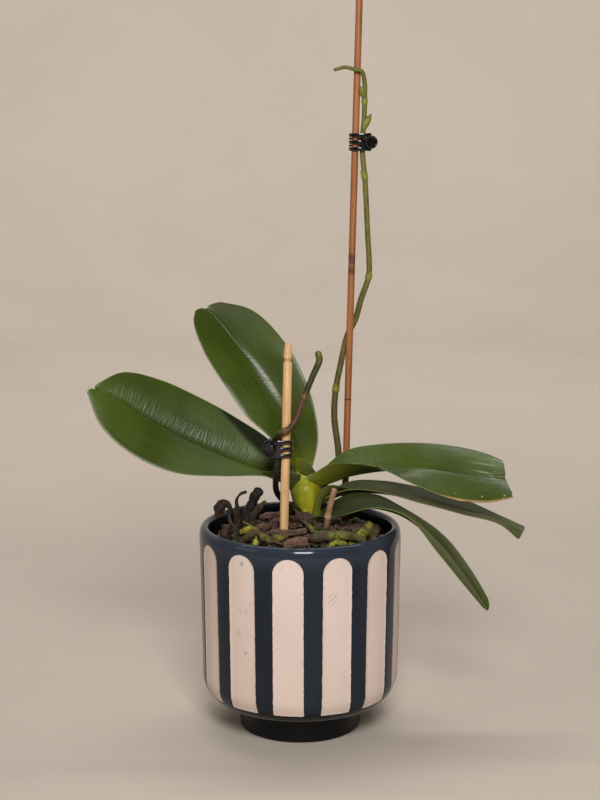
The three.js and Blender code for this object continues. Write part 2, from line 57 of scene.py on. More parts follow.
GAP = 0.3
POT_R = 70
POT_H = 144
POT_WALL = 6.5
BODY_R = POT_R - 1.5
CORNER_R = 20
LIP_H = 8
FOOT_R = 42.5
FOOT_H = 18.5
INNER_R = POT_R - 1 - POT_WALL
BED_R = INNER_R - GAP
BED_FLOOR = FOOT_H + 7
BARK_DROP = 12
BARK_MOUND = 10
LEAF_THICK = 2.2
STAKE_DEPTH = 85
TALL_STAKE = {"x": 31.9, "y": 33.5, "lean": 0.0232, "radius": 2.4, "top": 364}
SHORT_STAKE = {"x": -11, "y": -18, "lean": 0.0235, "radius": 3, "top": 129}
SPIKE_R = 2.1
CLIP_H = 12
CLIP_WALL = 1.4
CLIP_SPACE = 0.6
CLIP_HALF = CLIP_H / 2
PIN_R = 0.7
LUG_R = 1.5
PAD_R = 4.5
PAD_OUT = 6.8
TALL_CLIP_Z = 261
SHORT_CLIP_Z = 57


def tone(red, green, blue):
    """A colour from its three levels of 0 to 255, as a colour picker shows them."""
    levels = [level / 255 for level in (red, green, blue)]
    return tuple(v / 12.92 if v <= 0.04045 else ((v + 0.055) / 1.055) ** 2.4 for v in levels)


def solid(colour):
    """A colour with its fourth part, for a socket."""
    return (*colour, 1)


def bell(distance, width):
    """1 at no distance, falling smoothly towards 0 over a width."""
    return math.exp(-((distance / width) ** 2))


def ease(low, high, value):
    """0 below low, 1 above high and a smooth step between them."""
    share = min(max((value - low) / (high - low), 0), 1)
    return share * share * (3 - 2 * share)


def circle(sides):
    """The cosine and sine of even steps round a circle."""
    return [(math.cos(j / sides * TURN), math.sin(j / sides * TURN)) for j in range(sides)]


def facing(degrees):
    """A level direction, turned from X towards Y."""
    return Vector((math.cos(math.radians(degrees)), math.sin(math.radians(degrees)), 0))


def noise_at(x, y, z):
    """Smooth noise of about -1 to 1 at a place."""
    return noise.noise(Vector((x, y, z)))


def at(x, y, height):
    """A point of the plant, whose height is above the pot's rim."""
    return Vector((x, y, POT_H + height))


def bark_level(radius):
    """Height of the bark above the rim, at a distance from the pot's axis."""
    return -BARK_DROP + BARK_MOUND * math.cos(min(radius / BED_R, 1) * math.pi / 2)


# ---------------------------------------------------------------- curves and skins


class Rail:
    """The smooth curve through a few points that the frame's own pieces follow."""

    def __init__(self, points):
        self.points = [Vector(p) for p in points]

    def at(self, share):
        """The point at a share of the way, counted in spans between the given points."""
        points = self.points
        place = share * (len(points) - 1)
        low = min(int(place), len(points) - 2)
        u = place - low
        b, c = points[low], points[low + 1]
        a = points[low - 1] if low > 0 else b * 2 - c
        d = points[low + 2] if low + 2 < len(points) else c * 2 - b
        gaps = [max((q - p).length, 1e-4) ** 0.5 for p, q in ((a, b), (b, c), (c, d))]
        start = ((b - a) / gaps[0] - (c - a) / (gaps[0] + gaps[1]) + (c - b) / gaps[1]) * gaps[1]
        end = ((c - b) / gaps[1] - (d - b) / (gaps[1] + gaps[2]) + (d - c) / gaps[2]) * gaps[1]
        bend = (c - b) * 3 - start * 2 - end
        twist = (b - c) * 2 + start + end
        return b + start * u + bend * u * u + twist * u ** 3

    def even(self, steps):
        """Points at even steps of length along the curve, with both ends."""
        fine = [self.at(i / (steps * 4)) for i in range(steps * 4 + 1)]
        run = [0]
        for p, q in zip(fine, fine[1:]):
            run.append(run[-1] + (q - p).length)
        out, j = [], 0
        for i in range(steps + 1):
            goal = run[-1] * i / steps
            while j < len(run) - 2 and run[j + 1] < goal:
                j += 1
            span = max(run[j + 1] - run[j], 1e-9)
            out.append(fine[j].lerp(fine[j + 1], min(max((goal - run[j]) / span, 0), 1)))
        return out


class Skin:
    """Points and faces of a piece, gathered before they become its mesh.
    Each point also has two painted vectors: place in millimetres on the surface, and shares."""

    def __init__(self):
        self.points, self.faces, self.place, self.share = [], [], [], []

    def dot(self, point, place, share):
        """Adds one point and gives its number."""
        self.points.append(Vector(point))
        self.place.append(place)
        self.share.append(share)
        return len(self.points) - 1

    def loft(self, rings, paint, ends="fan"):
        """Joins closed rings of one length. ends is fan, strip for a thin sheet, hoop or open."""
        sides = len(rings[0])
        first = len(self.points)
        for i, ring in enumerate(rings):
            for j, point in enumerate(ring):
                self.dot(point, *paint(i, j))
        last = first + (len(rings) - 1) * sides
        starts = [first + i * sides for i in range(len(rings))]
        pairs = list(zip(starts, starts[1:]))
        if ends == "hoop":
            pairs.append((last, first))
        for low, high in pairs:
            for j in range(sides):
                k = (j + 1) % sides
                self.faces.append((low + j, low + k, high + k, high + j))
        for i, start in ((0, first), (len(rings) - 1, last)):
            if ends == "fan":
                middle = sum(rings[i], Vector()) / sides
                centre = self.dot(middle, *paint(i, 0))
                for j in range(sides):
                    self.faces.append((centre, start + j, start + (j + 1) % sides))
            elif ends == "strip":
                for j in range(sides // 2 - 1):
                    far = start + sides - 1 - j
                    self.faces.append((start + j, start + j + 1, far - 1, far))

    def moved(self, matrix):
        """The same skin with its points moved."""
        self.points = [matrix @ p for p in self.points]
        return self

    def piece(self, name, finish, slot, body="root", replaces=(), crease=40):
        """Makes the piece: a closed mesh with outward faces, in its finish and on its body."""
        mesh = bpy.data.meshes.new(name)
        mesh.from_pydata([p * MM for p in self.points], [], self.faces)
        for label, values in (("place", self.place), ("share", self.share)):
            layer = mesh.attributes.new(label, "FLOAT_VECTOR", "POINT")
            layer.data.foreach_set("vector", [v for vector in values for v in vector])
        shape = bmesh.new()
        shape.from_mesh(mesh)
        bmesh.ops.recalc_face_normals(shape, faces=shape.faces)
        shape.to_mesh(mesh)
        shape.free()
        mesh.shade_smooth()
        mesh.set_sharp_from_angle(angle=math.radians(crease))
        mesh.materials.append(finish)
        made = add(name, mesh)
        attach(made, body)
        if replaces:
            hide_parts(*replaces)
        return made


def add(name, data):
    """Adds an object to the scene."""
    made = bpy.data.objects.new(name, data)
    bpy.context.scene.collection.objects.link(made)
    return made


def across(points):
    """For each point of a path, its direction and two directions square to it that don't twist."""
    last = len(points) - 1
    ahead = [(points[min(i + 1, last)] - points[max(i - 1, 0)]).normalized() for i in range(last + 1)]
    side = ahead[0].orthogonal().normalized()
    out = []
    for tangent in ahead:
        side = (side - tangent * side.dot(tangent)).normalized()
        out.append((tangent, side, tangent.cross(side)))
    return out


def tube(skin, points, radius, sides=16, seed=0.0, dome=(1, 1)):
    """A round stem along evenly spaced points. radius(share, turn) is in millimetres, and dome
    says how far each rounded end stands out, as a share of the radius there."""
    last = len(points) - 1
    length = sum((q - p).length for p, q in zip(points, points[1:]))
    guides = across(points)
    stations = []
    for end, sign in ((0, -1), (last, 1)):
        cap = []
        for turn in (0.96, 0.8, 0.6, 0.4, 0.2):
            lift = math.sin(turn * math.pi / 2) * dome[end > 0] * sign
            cap.append((end, lift, math.cos(turn * math.pi / 2)))
        stations.append(cap)
    body = [(i, 0, 1) for i in range(last + 1)]
    stations = stations[0] + body + stations[1][::-1]
    rings, along = [], []
    for i, lift, shrink in stations:
        tangent, side, other = guides[i]
        share = i / last
        base = radius(share, 0)
        centre = points[i] + tangent * lift * base
        ring = []
        for j in range(sides):
            turn = j / sides
            reach = radius(share, turn) * shrink
            ring.append(centre + (side * math.cos(turn * TURN) + other * math.sin(turn * TURN)) * reach)
        rings.append(ring)
        along.append(share)
    skin.loft(rings, lambda i, j: (
        (math.cos(j / sides * TURN) * 2, math.sin(j / sides * TURN) * 2, along[i] * length),
        (along[i], j / sides, seed),
    ))
    return length


def turned(skin, profile, sides=48, seed=0.0, matrix=None, ends="fan"):
    """A profile of (radius, height) turned round Z."""
    matrix = matrix or Matrix.Identity(4)
    run = [0]
    for (r0, z0), (r1, z1) in zip(profile, profile[1:]):
        run.append(run[-1] + math.hypot(r1 - r0, z1 - z0))
    spokes = circle(sides)
    rings = [[matrix @ Vector((r * c, r * s, z)) for c, s in spokes] for r, z in profile]
    skin.loft(rings, lambda i, j: (
        (profile[i][0] * spokes[j][0], profile[i][0] * spokes[j][1], run[i]),
        (run[i] / run[-1], j / sides, seed),
    ), ends)


def swell(share, values):
    """A value at a share of the way through a list of evenly spaced ones."""
    place = share * (len(values) - 1)
    low = min(int(place), len(values) - 2)
    return values[low] + (values[low + 1] - values[low]) * (place - low)


# ---------------------------------------------------------------- finishes


class Value:
    """A number that a finish works out at each point, and that adds up as plain numbers do."""

    def __init__(self, socket):
        self.socket = socket

    def math(self, operation, *terms):
        """The result of a sum on Values or plain numbers."""
        node = self.socket.node.id_data.nodes.new("ShaderNodeMath")
        node.operation = operation
        for socket, term in zip(node.inputs, terms):
            join(term, socket)
        return Value(node.outputs[0])

    def __add__(self, other):
        return self.math("ADD", self, other)

    def __sub__(self, other):
        return self.math("SUBTRACT", self, other)

    def __rsub__(self, other):
        return self.math("SUBTRACT", other, self)

    def __mul__(self, other):
        return self.math("MULTIPLY", self, other)

    def __abs__(self):
        return self.math("ABSOLUTE", self)

    __radd__ = __add__
    __rmul__ = __mul__


def join(term, socket):
    """Links a Value to a socket, or sets a plain value on it."""
    if isinstance(term, Value):
        socket.node.id_data.links.new(term.socket, socket)
    else:
        socket.default_value = term


class Finish:
    """A material, and the nodes that colour and texture it."""

    def __init__(self, name, **constants):
        self.material = bpy.data.materials.new(name)
        self.material.use_nodes = True
        self.tree = self.material.node_tree
        self.tree.nodes.clear()
        self.shader = self.tree.nodes.new("ShaderNodeBsdfPrincipled")
        output = self.tree.nodes.new("ShaderNodeOutputMaterial")
        self.tree.links.new(self.shader.outputs[0], output.inputs[0])
        for socket, value in constants.items():
            self.shader.inputs[socket.replace("_", " ")].default_value = value
        self.object = self.node("ShaderNodeTexCoord", output="Object")
        self.place = self.painted("place")
        self.shares = self.painted("share")

    def node(self, kind, settings=None, sockets=None, output=0):
        """Adds a node: its settings first, then what its sockets hold or are linked to."""
        node = self.tree.nodes.new(kind)
        for name, value in (settings or {}).items():
            if name == "stops":
                ramp = node.color_ramp
                for i, (place, colour) in enumerate(value):
                    stop = ramp.elements[i] if i < 2 else ramp.elements.new(place)
                    stop.position, stop.color = place, solid(colour)
            else:
                setattr(node, name, value)
        for name, value in (sockets or {}).items():
            join(value, node.inputs[name])
        return Value(node.outputs[output])

    def painted(self, name):
        """One of the vectors painted on the points of a piece."""
        return self.node("ShaderNodeAttribute", {"attribute_name": name}, output="Vector")

    def parts(self, vector):
        """The three numbers of a vector."""
        split = self.node("ShaderNodeSeparateXYZ", sockets={0: vector}).socket.node
        return [Value(socket) for socket in split.outputs]

    def stretch(self, vector, scale, shift=(0, 0, 0)):
        """A vector scaled along each axis and then moved."""
        return self.node("ShaderNodeVectorMath", {"operation": "MULTIPLY_ADD"},
                         {0: vector, 1: scale, 2: shift})

    def cloud(self, scale, vector=None, detail=3.0, rough=0.5, stretch=None, shift=(0, 0, 0)):
        """Soft noise from 0 to 1. scale counts its cells in each unit of the vector."""
        where = vector or self.object
        if stretch:
            where = self.stretch(where, stretch, shift)
        return self.node("ShaderNodeTexNoise", None, {
            "Vector": where, "Scale": scale, "Detail": detail, "Roughness": rough}, "Fac")

    def cells(self, scale, vector=None):
        """Distance from the nearest of many scattered points, scale to each unit of the vector."""
        return self.node("ShaderNodeTexVoronoi", None,
                         {"Vector": vector or self.object, "Scale": scale}, "Distance")

    def step(self, value, low, high):
        """A smooth step of a value from 0 at low to 1 at high."""
        if low > high:
            return 1 - self.step(value, high, low)
        return self.node("ShaderNodeMapRange", {"interpolation_type": "SMOOTHSTEP"},
                         {0: value, 1: low, 2: high})

    def mix(self, factor, below, above):
        """Two colours mixed."""
        pair = [c if isinstance(c, Value) else solid(c) for c in (below, above)]
        return self.node("ShaderNodeMix", {"data_type": "RGBA"},
                         {0: factor, 6: pair[0], 7: pair[1]}, 2)

    def ramp(self, value, *stops):
        """The colour at a value among stops of (place, colour)."""
        return self.node("ShaderNodeValToRGB", {"stops": stops}, {0: value})

    def spot(self, middle, reach, blur=0.4):
        """1 inside a soft round patch, whose middle and reach are in millimetres."""
        away = self.node("ShaderNodeVectorMath", {"operation": "DISTANCE"},
                         {0: self.object, 1: Vector(middle) * MM}, "Value")
        edge = away + (self.cloud(420) - 0.5) * reach * MM * 1.2
        return self.step(edge, reach * MM, reach * MM * (1 - blur))

    def bump(self, height, distance, strength=1.0, under=None):
        """Roughens the surface by a height from 0 to 1, where 1 is distance in millimetres."""
        sockets = {"Height": height, "Distance": distance * MM, "Strength": strength}
        if under:
            sockets["Normal"] = under
        return self.node("ShaderNodeBump", None, sockets)

    def done(self, **links):
        """Links the shader's sockets and gives the finished material."""
        for name, value in links.items():
            join(value, self.shader.inputs[name.replace("_", " ")])
        return self.material


def pot_finish(pot):
    """Glossy slate glaze with bare clay where it was left off."""
    f = Finish("glazed_pot_finish", Specular_IOR_Level=0.24)
    bare = f.parts(f.shares)[0]
    x, y, z = f.parts(f.object)
    ragged = (f.cloud(1100, detail=3) - 0.5) * 1.7
    mask = f.step(bare + ragged * (1 - abs(bare * 2 - 1)), 0.42, 0.58)
    streak = f.cloud(60, stretch=(1, 1, 0.08), detail=4)
    pool = f.cloud(14, detail=2)
    deep = Vector(pot.glaze) * 0.66
    glaze = f.mix(f.step(streak * 0.6 + pool * 0.4, 0.35, 0.65), deep, pot.glaze)
    # Painted reflection: the glaze is painted lighter near the rim.
    glaze = f.mix(f.step(z, 0.126, 0.138) * 0.35, glaze, tone(64, 71, 82))
    # Painted shade: the glaze near the foot is painted darker, where the body above shades it.
    glaze = f.mix(f.step(z, 0.021, 0.013) * 0.6, glaze, tone(15, 17, 20))
    # Painted shade: the inner wall below the rim is painted near black.
    inside = f.step(x * x + y * y, 0.0672 ** 2, 0.0655 ** 2) * f.step(z, 0.1432, 0.1405)
    glaze = f.mix(inside * 0.9, glaze, tone(9, 10, 12))
    pin = f.step(f.cells(260), 0.06, 0.03) * f.step(f.cloud(40), 0.62, 0.7)
    glaze = f.mix(pin * 0.5, glaze, tone(112, 114, 118))
    warm = Vector(pot.clay) * 0.93
    clay = f.mix(f.step(f.cloud(22, detail=4), 0.35, 0.68), pot.clay, warm)
    blush = f.step(f.cloud(11, shift=(3, 1, 0), stretch=(1, 1, 0.5)), 0.45, 0.75)
    clay = f.mix(blush * 0.45, clay, tone(212, 186, 166))
    speck = f.step(f.cells(330), 0.13, 0.07) * f.step(f.cloud(70, detail=2), 0.56, 0.64)
    clay = f.mix(speck * 0.75, clay, tone(110, 86, 74))
    marks = f.spot((-38.5, -57.6, 131.1), 2.1) + f.spot((-36.7, -58.7, 69.5), 1.7)
    clay = f.mix(marks * 0.6, clay, tone(124, 130, 150))
    clay = f.mix(f.spot((-41.4, -56, 82.2), 3.4, 0.9) * 0.5, clay, tone(192, 160, 112))
    dust = f.step(f.cloud(420, stretch=(1, 1, 0.35), detail=5), 0.54, 0.64)
    clay = f.mix(f.spot((-37, -58, 102), 8, 0.8) * dust * 0.5, clay, tone(140, 132, 126))
    slant = abs(z - 0.109 - (x - 0.021) * 0.94 + (f.cloud(500) - 0.5) * 0.0012)
    slant = f.step(slant, 0.0011, 0.0003) + f.step(abs(slant - 0.0034), 0.0009, 0.0002) * 0.7
    scratch = slant * f.spot((21, -65.5, 109), 7, 0.5)
    clay = f.mix(scratch * 0.55, clay, tone(176, 150, 120))
    rough = 0.07 + mask * 0.6 + streak * 0.05
    grain = f.cloud(1500, detail=4) * mask * 0.6 + f.cloud(55, detail=2) * 0.4
    return f.done(
        Base_Color=f.mix(mask, glaze, clay),
        Roughness=rough,
        Normal=f.bump(grain, 0.12, 0.5),
    )


def leaf_finish(plants, name, green, dull=0.0, scorch=0.0, shade="", painted_sheen=False):
    """Waxy leaf: veins along it, fine ripples across, a pale rim, and paler underneath.
    dull takes off shine and scorch browns a torn tip. shade says where shade is painted: a
    painted shadow for shadow_wedge beside its rib, painted shade for low and root towards
    its foot. painted_sheen adds pale strips of painted sheen beside the rib and along an edge."""
    f = Finish(name, IOR=1.42, Specular_IOR_Level=0.36)
    x, _, side = f.parts(f.place)
    rim, along, _ = f.parts(f.shares)
    green = Vector(green)
    veins = f.cloud(1, f.place, 4, 0.6, (0.55, 0.02, 0))
    ripple = f.cloud(1, f.place, 3, 0.5, (0.08, 0.6, 0))
    mottle = f.cloud(26, detail=4)
    patch = f.cloud(9, detail=2)
    body = f.mix(f.step(mottle, 0.3, 0.7), green * 0.72, green * 1.15)
    body = f.mix(f.step(patch, 0.35, 0.7) * 0.5, body, plants.leaf_deep)
    body = f.mix(f.step(veins, 0.48, 0.75) * 0.3, body, green * 1.55)
    # Painted shade: a dark line along the midrib's groove.
    body = f.mix(f.step(abs(x), 1.0, 0.15) * 0.5, body, green * 0.34)
    under = f.mix(f.step(veins, 0.3, 0.8), tone(40, 48, 18), tone(60, 70, 28))
    body = f.mix(side, under, body)
    young = f.step(along, 0.15, 0.0)
    body = f.mix(young * 0.62, body, Vector(plants.crown) * 0.6)
    # inner holds where shade is painted on the leaf.
    inner = 0.0
    # Painted shadow: shadow_wedge paints a near-black wedge on the upper half near the base, where
    # another leaf's shadow falls.
    if shade == "shadow_wedge":
        shadow_wedge = x - 5 - along * along * 130 + (mottle - 0.5) * 4
        inner = f.step(shadow_wedge, -3, 4) * f.step(along, 0.5, 0.4) * f.step(along, 0.0, 0.05)
    # Painted shade: low darkens the lower right leaf towards its foot, where the upper leaves shade it.
    if shade == "low":
        inner = f.step(along + (mottle - 0.5) * 0.08, 0.62, 0.42) * 0.75
    # Painted shade: root darkens the dull leaf towards its foot, by the crown.
    if shade == "root":
        inner = f.step(along + (mottle - 0.5) * 0.1, 0.5, 0.2) * 0.55
    # The painted shade and shadow darken the upper side here.
    body = f.mix(inner * side * 0.93, body, tone(7, 13, 4) if shade == "shadow_wedge" else tone(26, 30, 8))
    # Painted sheen: pale strips beside the rib and along the left edge stand in for highlights.
    if painted_sheen:
        wide = abs(x - 2.6) + abs(along - 0.44) * 9
        strip = f.step(wide, 4, 1.6) * f.step(abs(along - 0.45), 0.2, 0.06)
        body = f.mix(strip * side * f.step(ripple, 0.2, 0.6) * 0.45, body, tone(176, 180, 164))
        strip = f.step(x, -14, -18) * f.step(rim, 0.86, 0.93) * f.step(abs(along - 0.42), 0.1, 0.03)
        body = f.mix(strip * side * 0.2, body, tone(176, 180, 164))
    body = f.mix(f.step(rim, 0.975, 0.996) * 0.5, body, tone(132, 140, 70))
    dotted = f.step(f.cloud(33, shift=(5, 5, 5), stretch=(1, 1, 1)), 0.6, 0.66)
    dot = f.step(f.cells(150), 0.07, 0.03) * dotted
    body = f.mix(dot * 0.7, body, tone(34, 30, 16))
    rough = 0.29 + dull * 0.2 + f.step(mottle, 0.3, 0.8) * 0.1 + (1 - side) * 0.16 + inner * 0.6
    if shade == "shadow_wedge":
        rough = rough + f.step(x, 0, -3) * f.step(along, 0.62, 0.42) * 0.3
    if painted_sheen:
        rough = rough + f.step(x, 1, 5) * f.step(along, 0.55, 0.72) * 0.3
    if scorch:
        torn = f.step(x, 4, 14) * f.step(along, 0.6, 0.7) * f.step(rim + (mottle - 0.5) * 0.1, 0.9, 0.975)
        torn_end = f.step(along + (f.cloud(160) - 0.5) * 0.012, 0.984, 0.992)
        body = f.mix((torn + torn_end * 0.8) * scorch, body, tone(150, 122, 74))
        # Scuffs and painted sheen: pale streaks near the tip, partly scratches, partly highlights painted
        # in.
        scuff_sheen_streaks = f.step(f.cloud(1, f.place, 4, 0.7, (0.36, 0.03, 0)), 0.52, 0.62)
        scuffs_and_sheen = scuff_sheen_streaks * f.step(along, 0.7, 0.86) * f.step(x, 10, -2) * side
        body = f.mix(scuffs_and_sheen * 0.6, body, tone(150, 156, 134))
        # Dust and painted sheen: a fine pale haze between about a tenth and half the leaf's length.
        dust_and_sheen = f.step(f.cloud(1500, detail=2), 0.42, 0.66) * f.step(abs(along - 0.27), 0.18, 0.04)
        body = f.mix(dust_and_sheen * side * 0.2, body, tone(150, 158, 132))
        holes = f.spot((107.4, 26, 186.7), 1.5, 0.6)
        body = f.mix(holes, body, tone(16, 14, 8))
        pecks = f.step(f.cells(190), 0.16, 0.08) * f.step(abs(x - 17), 5, 2) * f.step(along, 0.62, 0.74)
        body = f.mix(pecks * side * 0.7, body, tone(186, 172, 122))
        rough = rough + torn_end * 0.3
    near_rib = f.step(abs(x - 5), 11, 3)
    height = veins * 0.35 + ripple * (0.35 + near_rib * 0.65)
    pits = f.cloud(900, detail=2)
    return f.done(
        Base_Color=body,
        Roughness=rough,
        Normal=f.bump(pits, 0.03, 0.5, f.bump(height, 0.34, 0.7)),
    )


def crown_finish(plants):
    """Swollen yellow-green base of the leaves, greener above, with scars and a dry skirt."""
    f = Finish("crown_finish", IOR=1.42, Specular_IOR_Level=0.42)
    z = f.parts(f.object)[2]
    rim = f.parts(f.shares)[0]
    level = z + (f.cloud(60, detail=3) - 0.5) * 0.006
    bright = Vector(plants.crown)
    body = f.mix(f.step(f.cloud(90, stretch=(1, 1, 0.25), detail=4), 0.38, 0.66),
                 bright * 0.62, bright)
    olive = Vector(plants.leaf) * 1.25
    side = f.parts(f.object)[0] + (f.cloud(80) - 0.5) * 0.006
    body = f.mix(f.step(side, 0.003, -0.003) * 0.6, body, olive)
    body = f.mix(f.step(side, 0.0085, 0.012) * 0.45, body, tone(128, 104, 26))
    amber = f.spot((9, 7, 150.5), 4.2, 0.7) + f.spot((13.5, 8, 157), 1.4, 0.6)
    body = f.mix(amber * 0.75, body, tone(176, 112, 20))
    dry = f.step(level, 0.1475, 0.143)
    body = f.mix(dry * 0.9, body, tone(92, 70, 44))
    worn = f.step(f.cloud(700, stretch=(1, 1, 2.2), detail=3), 0.44, 0.56)
    scar = (f.spot((5.2, 7, 167), 2.8, 0.7) + f.spot((7.4, 7, 162.6), 2, 0.8)) * worn
    scar = scar + f.spot((3.4, 7, 150.6), 2.2, 0.8) * worn
    body = f.mix(scar * 0.75, body, tone(206, 190, 132))
    body = f.mix(f.step(rim, 0.9, 0.98) * 0.6, body, tone(158, 166, 70))
    skin = f.cloud(1, f.place, 4, 0.6, (0.8, 0.8, 0.12))
    return f.done(Base_Color=body, Roughness=0.36 + dry * 0.4 + scar * 0.2,
                  Normal=f.bump(skin, 0.4, 0.7))


def spike_finish(name, stops, ring, shine=0.42):
    """Stem with fine lengthwise ribs, whose colour changes from foot to tip and at its nodes."""
    f = Finish(name, IOR=1.42)
    along, _, node = f.parts(f.shares)
    base = f.ramp(along, *stops)
    ribs = f.cloud(1, f.place, 4, 0.6, (1.3, 1.3, 0.05))
    blotch = f.cloud(1, f.place, 4, 0.6, (0.5, 0.5, 0.22))
    dim = f.node("ShaderNodeMix", {"data_type": "RGBA", "blend_type": "MULTIPLY"},
                 {0: f.step(blotch, 0.4, 0.7) * 0.65, 6: base, 7: solid(tone(150, 140, 120))}, 2)
    pale = f.mix(f.step(ribs, 0.5, 0.75) * 0.3, dim, tone(150, 148, 92))
    body = f.mix(node, pale, ring)
    lines = f.step(f.cloud(1, f.place, 2, 0.5, (0.9, 0.9, 0.9)), 0.66, 0.72)
    body = f.mix(lines * 0.45, body, tone(58, 50, 26))
    return f.done(Base_Color=body, Roughness=shine + blotch * 0.2,
                  Normal=f.bump(ribs * 0.7 + blotch * 0.5, 0.22, 0.6))


def root_finish(name, fresh, old, speckle, dead_end=False):
    """Wrinkled root, silvery where it is dry and mossy or brown where it isn't."""
    f = Finish(name, IOR=1.4)
    along = f.parts(f.shares)[0]
    wrinkle = f.cloud(1, f.place, 5, 0.65, (1.1, 1.1, 0.4))
    patch = f.cloud(85, detail=4)
    body = f.mix(f.step(patch, 0.4, 0.6), fresh, old)
    if dead_end:
        withered = f.step(along + (f.cloud(150, detail=3) - 0.5) * 0.12, 0.34, 0.3)
        body = f.mix(withered * 0.9, body, tone(78, 66, 54))
    body = f.mix(f.step(wrinkle, 0.54, 0.78) * 0.45, body, speckle)
    # Painted shade: darker in the hollows of the wrinkles.
    body = f.mix(f.step(wrinkle, 0.47, 0.3) * 0.85, body, Vector(old) * 0.2)
    grime = f.step(f.cloud(260, detail=4), 0.53, 0.64)
    body = f.mix(grime * 0.7, body, tone(34, 24, 16))
    return f.done(Base_Color=body, Roughness=0.5 + patch * 0.3,
                  Normal=f.bump(wrinkle, 0.9, 1.0))


def bark_finish(name, colour, darker):
    """Flaky bark whose ridges run along each chip, in a shade of its own."""
    f = Finish(name)
    shade, blush, _ = f.parts(f.shares)
    ridges = f.cloud(1, f.place, 6, 0.7, (0.24, 1.0, 1.0))
    pores = f.cloud(620, detail=5, rough=0.7)
    low, high = Vector(colour) * 0.13, Vector(colour) * 1.5
    body = f.mix(shade, low, high)
    body = f.mix(blush * 0.5, body, tone(124, 90, 76))
    # Painted shade in the grooves between the ridges.
    body = f.mix(f.step(ridges, 0.53, 0.36) * 0.92, body, darker)
    # Painted highlight on the ridge tops.
    body = f.mix(f.step(ridges, 0.57, 0.72) * 0.5, body, tone(152, 128, 108))
    # Painted shade in the pores.
    body = f.mix(f.step(pores, 0.53, 0.62) * 0.75, body, tone(24, 16, 11))
    algae = f.step(f.cloud(48, detail=3), 0.58, 0.68)
    body = f.mix(algae * 0.45, body, tone(64, 64, 26))
    return f.done(Base_Color=body, Roughness=0.72 + pores * 0.2,
                  Normal=f.bump(ridges * 0.7 + pores * 0.4, 1.4, 1.0))


def moss_finish(plants):
    """Dark, dry moss."""
    f = Finish("moss_finish")
    shade = f.parts(f.shares)[0]
    moss = Vector(plants.moss)
    body = f.mix(f.step(f.cloud(300) * 0.5 + shade * 0.5, 0.3, 0.7), moss * 0.5, moss * 1.7)
    return f.done(Base_Color=body, Roughness=0.9 - shade * 0.1,
                  Normal=f.bump(f.cloud(1400, detail=3), 0.2, 0.8))


def wood_finish(name, colour, dark, bands, shine):
    """Split cane with straight grain, flecks and a few darker bands at given heights."""
    f = Finish(name)
    z = f.parts(f.object)[2]
    grain = f.cloud(520, stretch=(1, 1, 0.035), detail=5, rough=0.65)
    fibre = f.cloud(1700, stretch=(1, 1, 0.02), detail=3)
    tint = f.cloud(28, stretch=(1, 1, 0.4), detail=3)
    colour = Vector(colour)
    body = f.mix(f.step(grain, 0.34, 0.68), colour * 0.72, colour * 1.15)
    body = f.mix(f.step(tint, 0.4, 0.7) * 0.4, body, colour * 1.32)
    body = f.mix(f.step(fibre, 0.56, 0.7) * 0.55, body, dark)
    fleck = f.step(f.cells(1, f.stretch(f.object, (800, 800, 150))), 0.2, 0.1)
    body = f.mix(fleck * f.step(f.cloud(90), 0.5, 0.6) * 0.7, body, dark)
    for height, reach, depth in bands:
        edge = abs(z + (f.cloud(500, detail=3) - 0.5) * 0.0016 * min(reach, 4) - (POT_H + height) * MM)
        band = f.step(edge, reach * MM, reach * MM * 0.55)
        broken = f.step(f.cloud(230, detail=4), 0.26, 0.55)
        body = f.mix(band * broken * depth, body, Vector(dark) * 0.4)
    return f.done(Base_Color=body, Roughness=shine + grain * 0.2,
                  Normal=f.bump(grain * 0.7 + fibre * 0.4, 0.14, 0.7))


def plastic_finish(clip):
    """Moulded black plastic, faintly rubbed."""
    f = Finish("black_plastic_finish", IOR=1.5, Coat_Weight=0.5, Coat_Roughness=0.05)
    black = Vector(clip.plastic)
    haze = f.cloud(240, detail=4)
    rub = f.step(f.cloud(800, stretch=(1, 1, 0.2), detail=4), 0.6, 0.72)
    body = f.mix(f.step(haze, 0.4, 0.7), black * 0.6, black * 1.2)
    return f.done(Base_Color=f.mix(rub * 0.15, body, tone(60, 62, 64)),
                  Roughness=0.1 + haze * 0.12 + rub * 0.12,
                  Normal=f.bump(f.cloud(2600, detail=2), 0.015, 0.5))


def steel_finish():
    """Drawn spring wire."""
    f = Finish("spring_steel_finish", Metallic=1.0)
    drawn = f.cloud(1, f.place, 3, 0.6, (4, 4, 0.4))
    body = f.mix(f.step(drawn, 0.35, 0.7), tone(120, 122, 126), tone(196, 198, 202))
    return f.done(Base_Color=body, Roughness=0.24 + drawn * 0.2,
                  Normal=f.bump(drawn, 0.03, 0.5))


def floor_finish(stage):
    """Plain pale floor with the faintest trowel clouds."""
    f = Finish("floor_finish")
    cloud = f.cloud(3.2, detail=5, rough=0.6)
    floor = Vector(stage.floor)
    body = f.mix(f.step(cloud, 0.3, 0.7), floor * 0.94, floor)
    return f.done(Base_Color=body, Roughness=0.72 + cloud * 0.1,
                  Normal=f.bump(f.cloud(160, detail=4), 0.3, 0.3))


# ---------------------------------------------------------------- pot

STRIPE_FOOT = 27.9
STRIPE_TOP = 137
STRIPE_TURN = -6.6            # degrees from the front to the nearest stripe's middle
STEP_W = 0.4                  # width of the glaze's edge
POT_ROW = 1.3
EVEN_FROM = 36                # height above which the wall's rows are evenly spaced
LIP_ROWS = [138.3, 139.5, 140.6, 141.6, 142.4, 143, 143.5, 143.8, 143.96]
INSIDE_ROWS = (132, 128, 122, 112, 90, 60, 32)


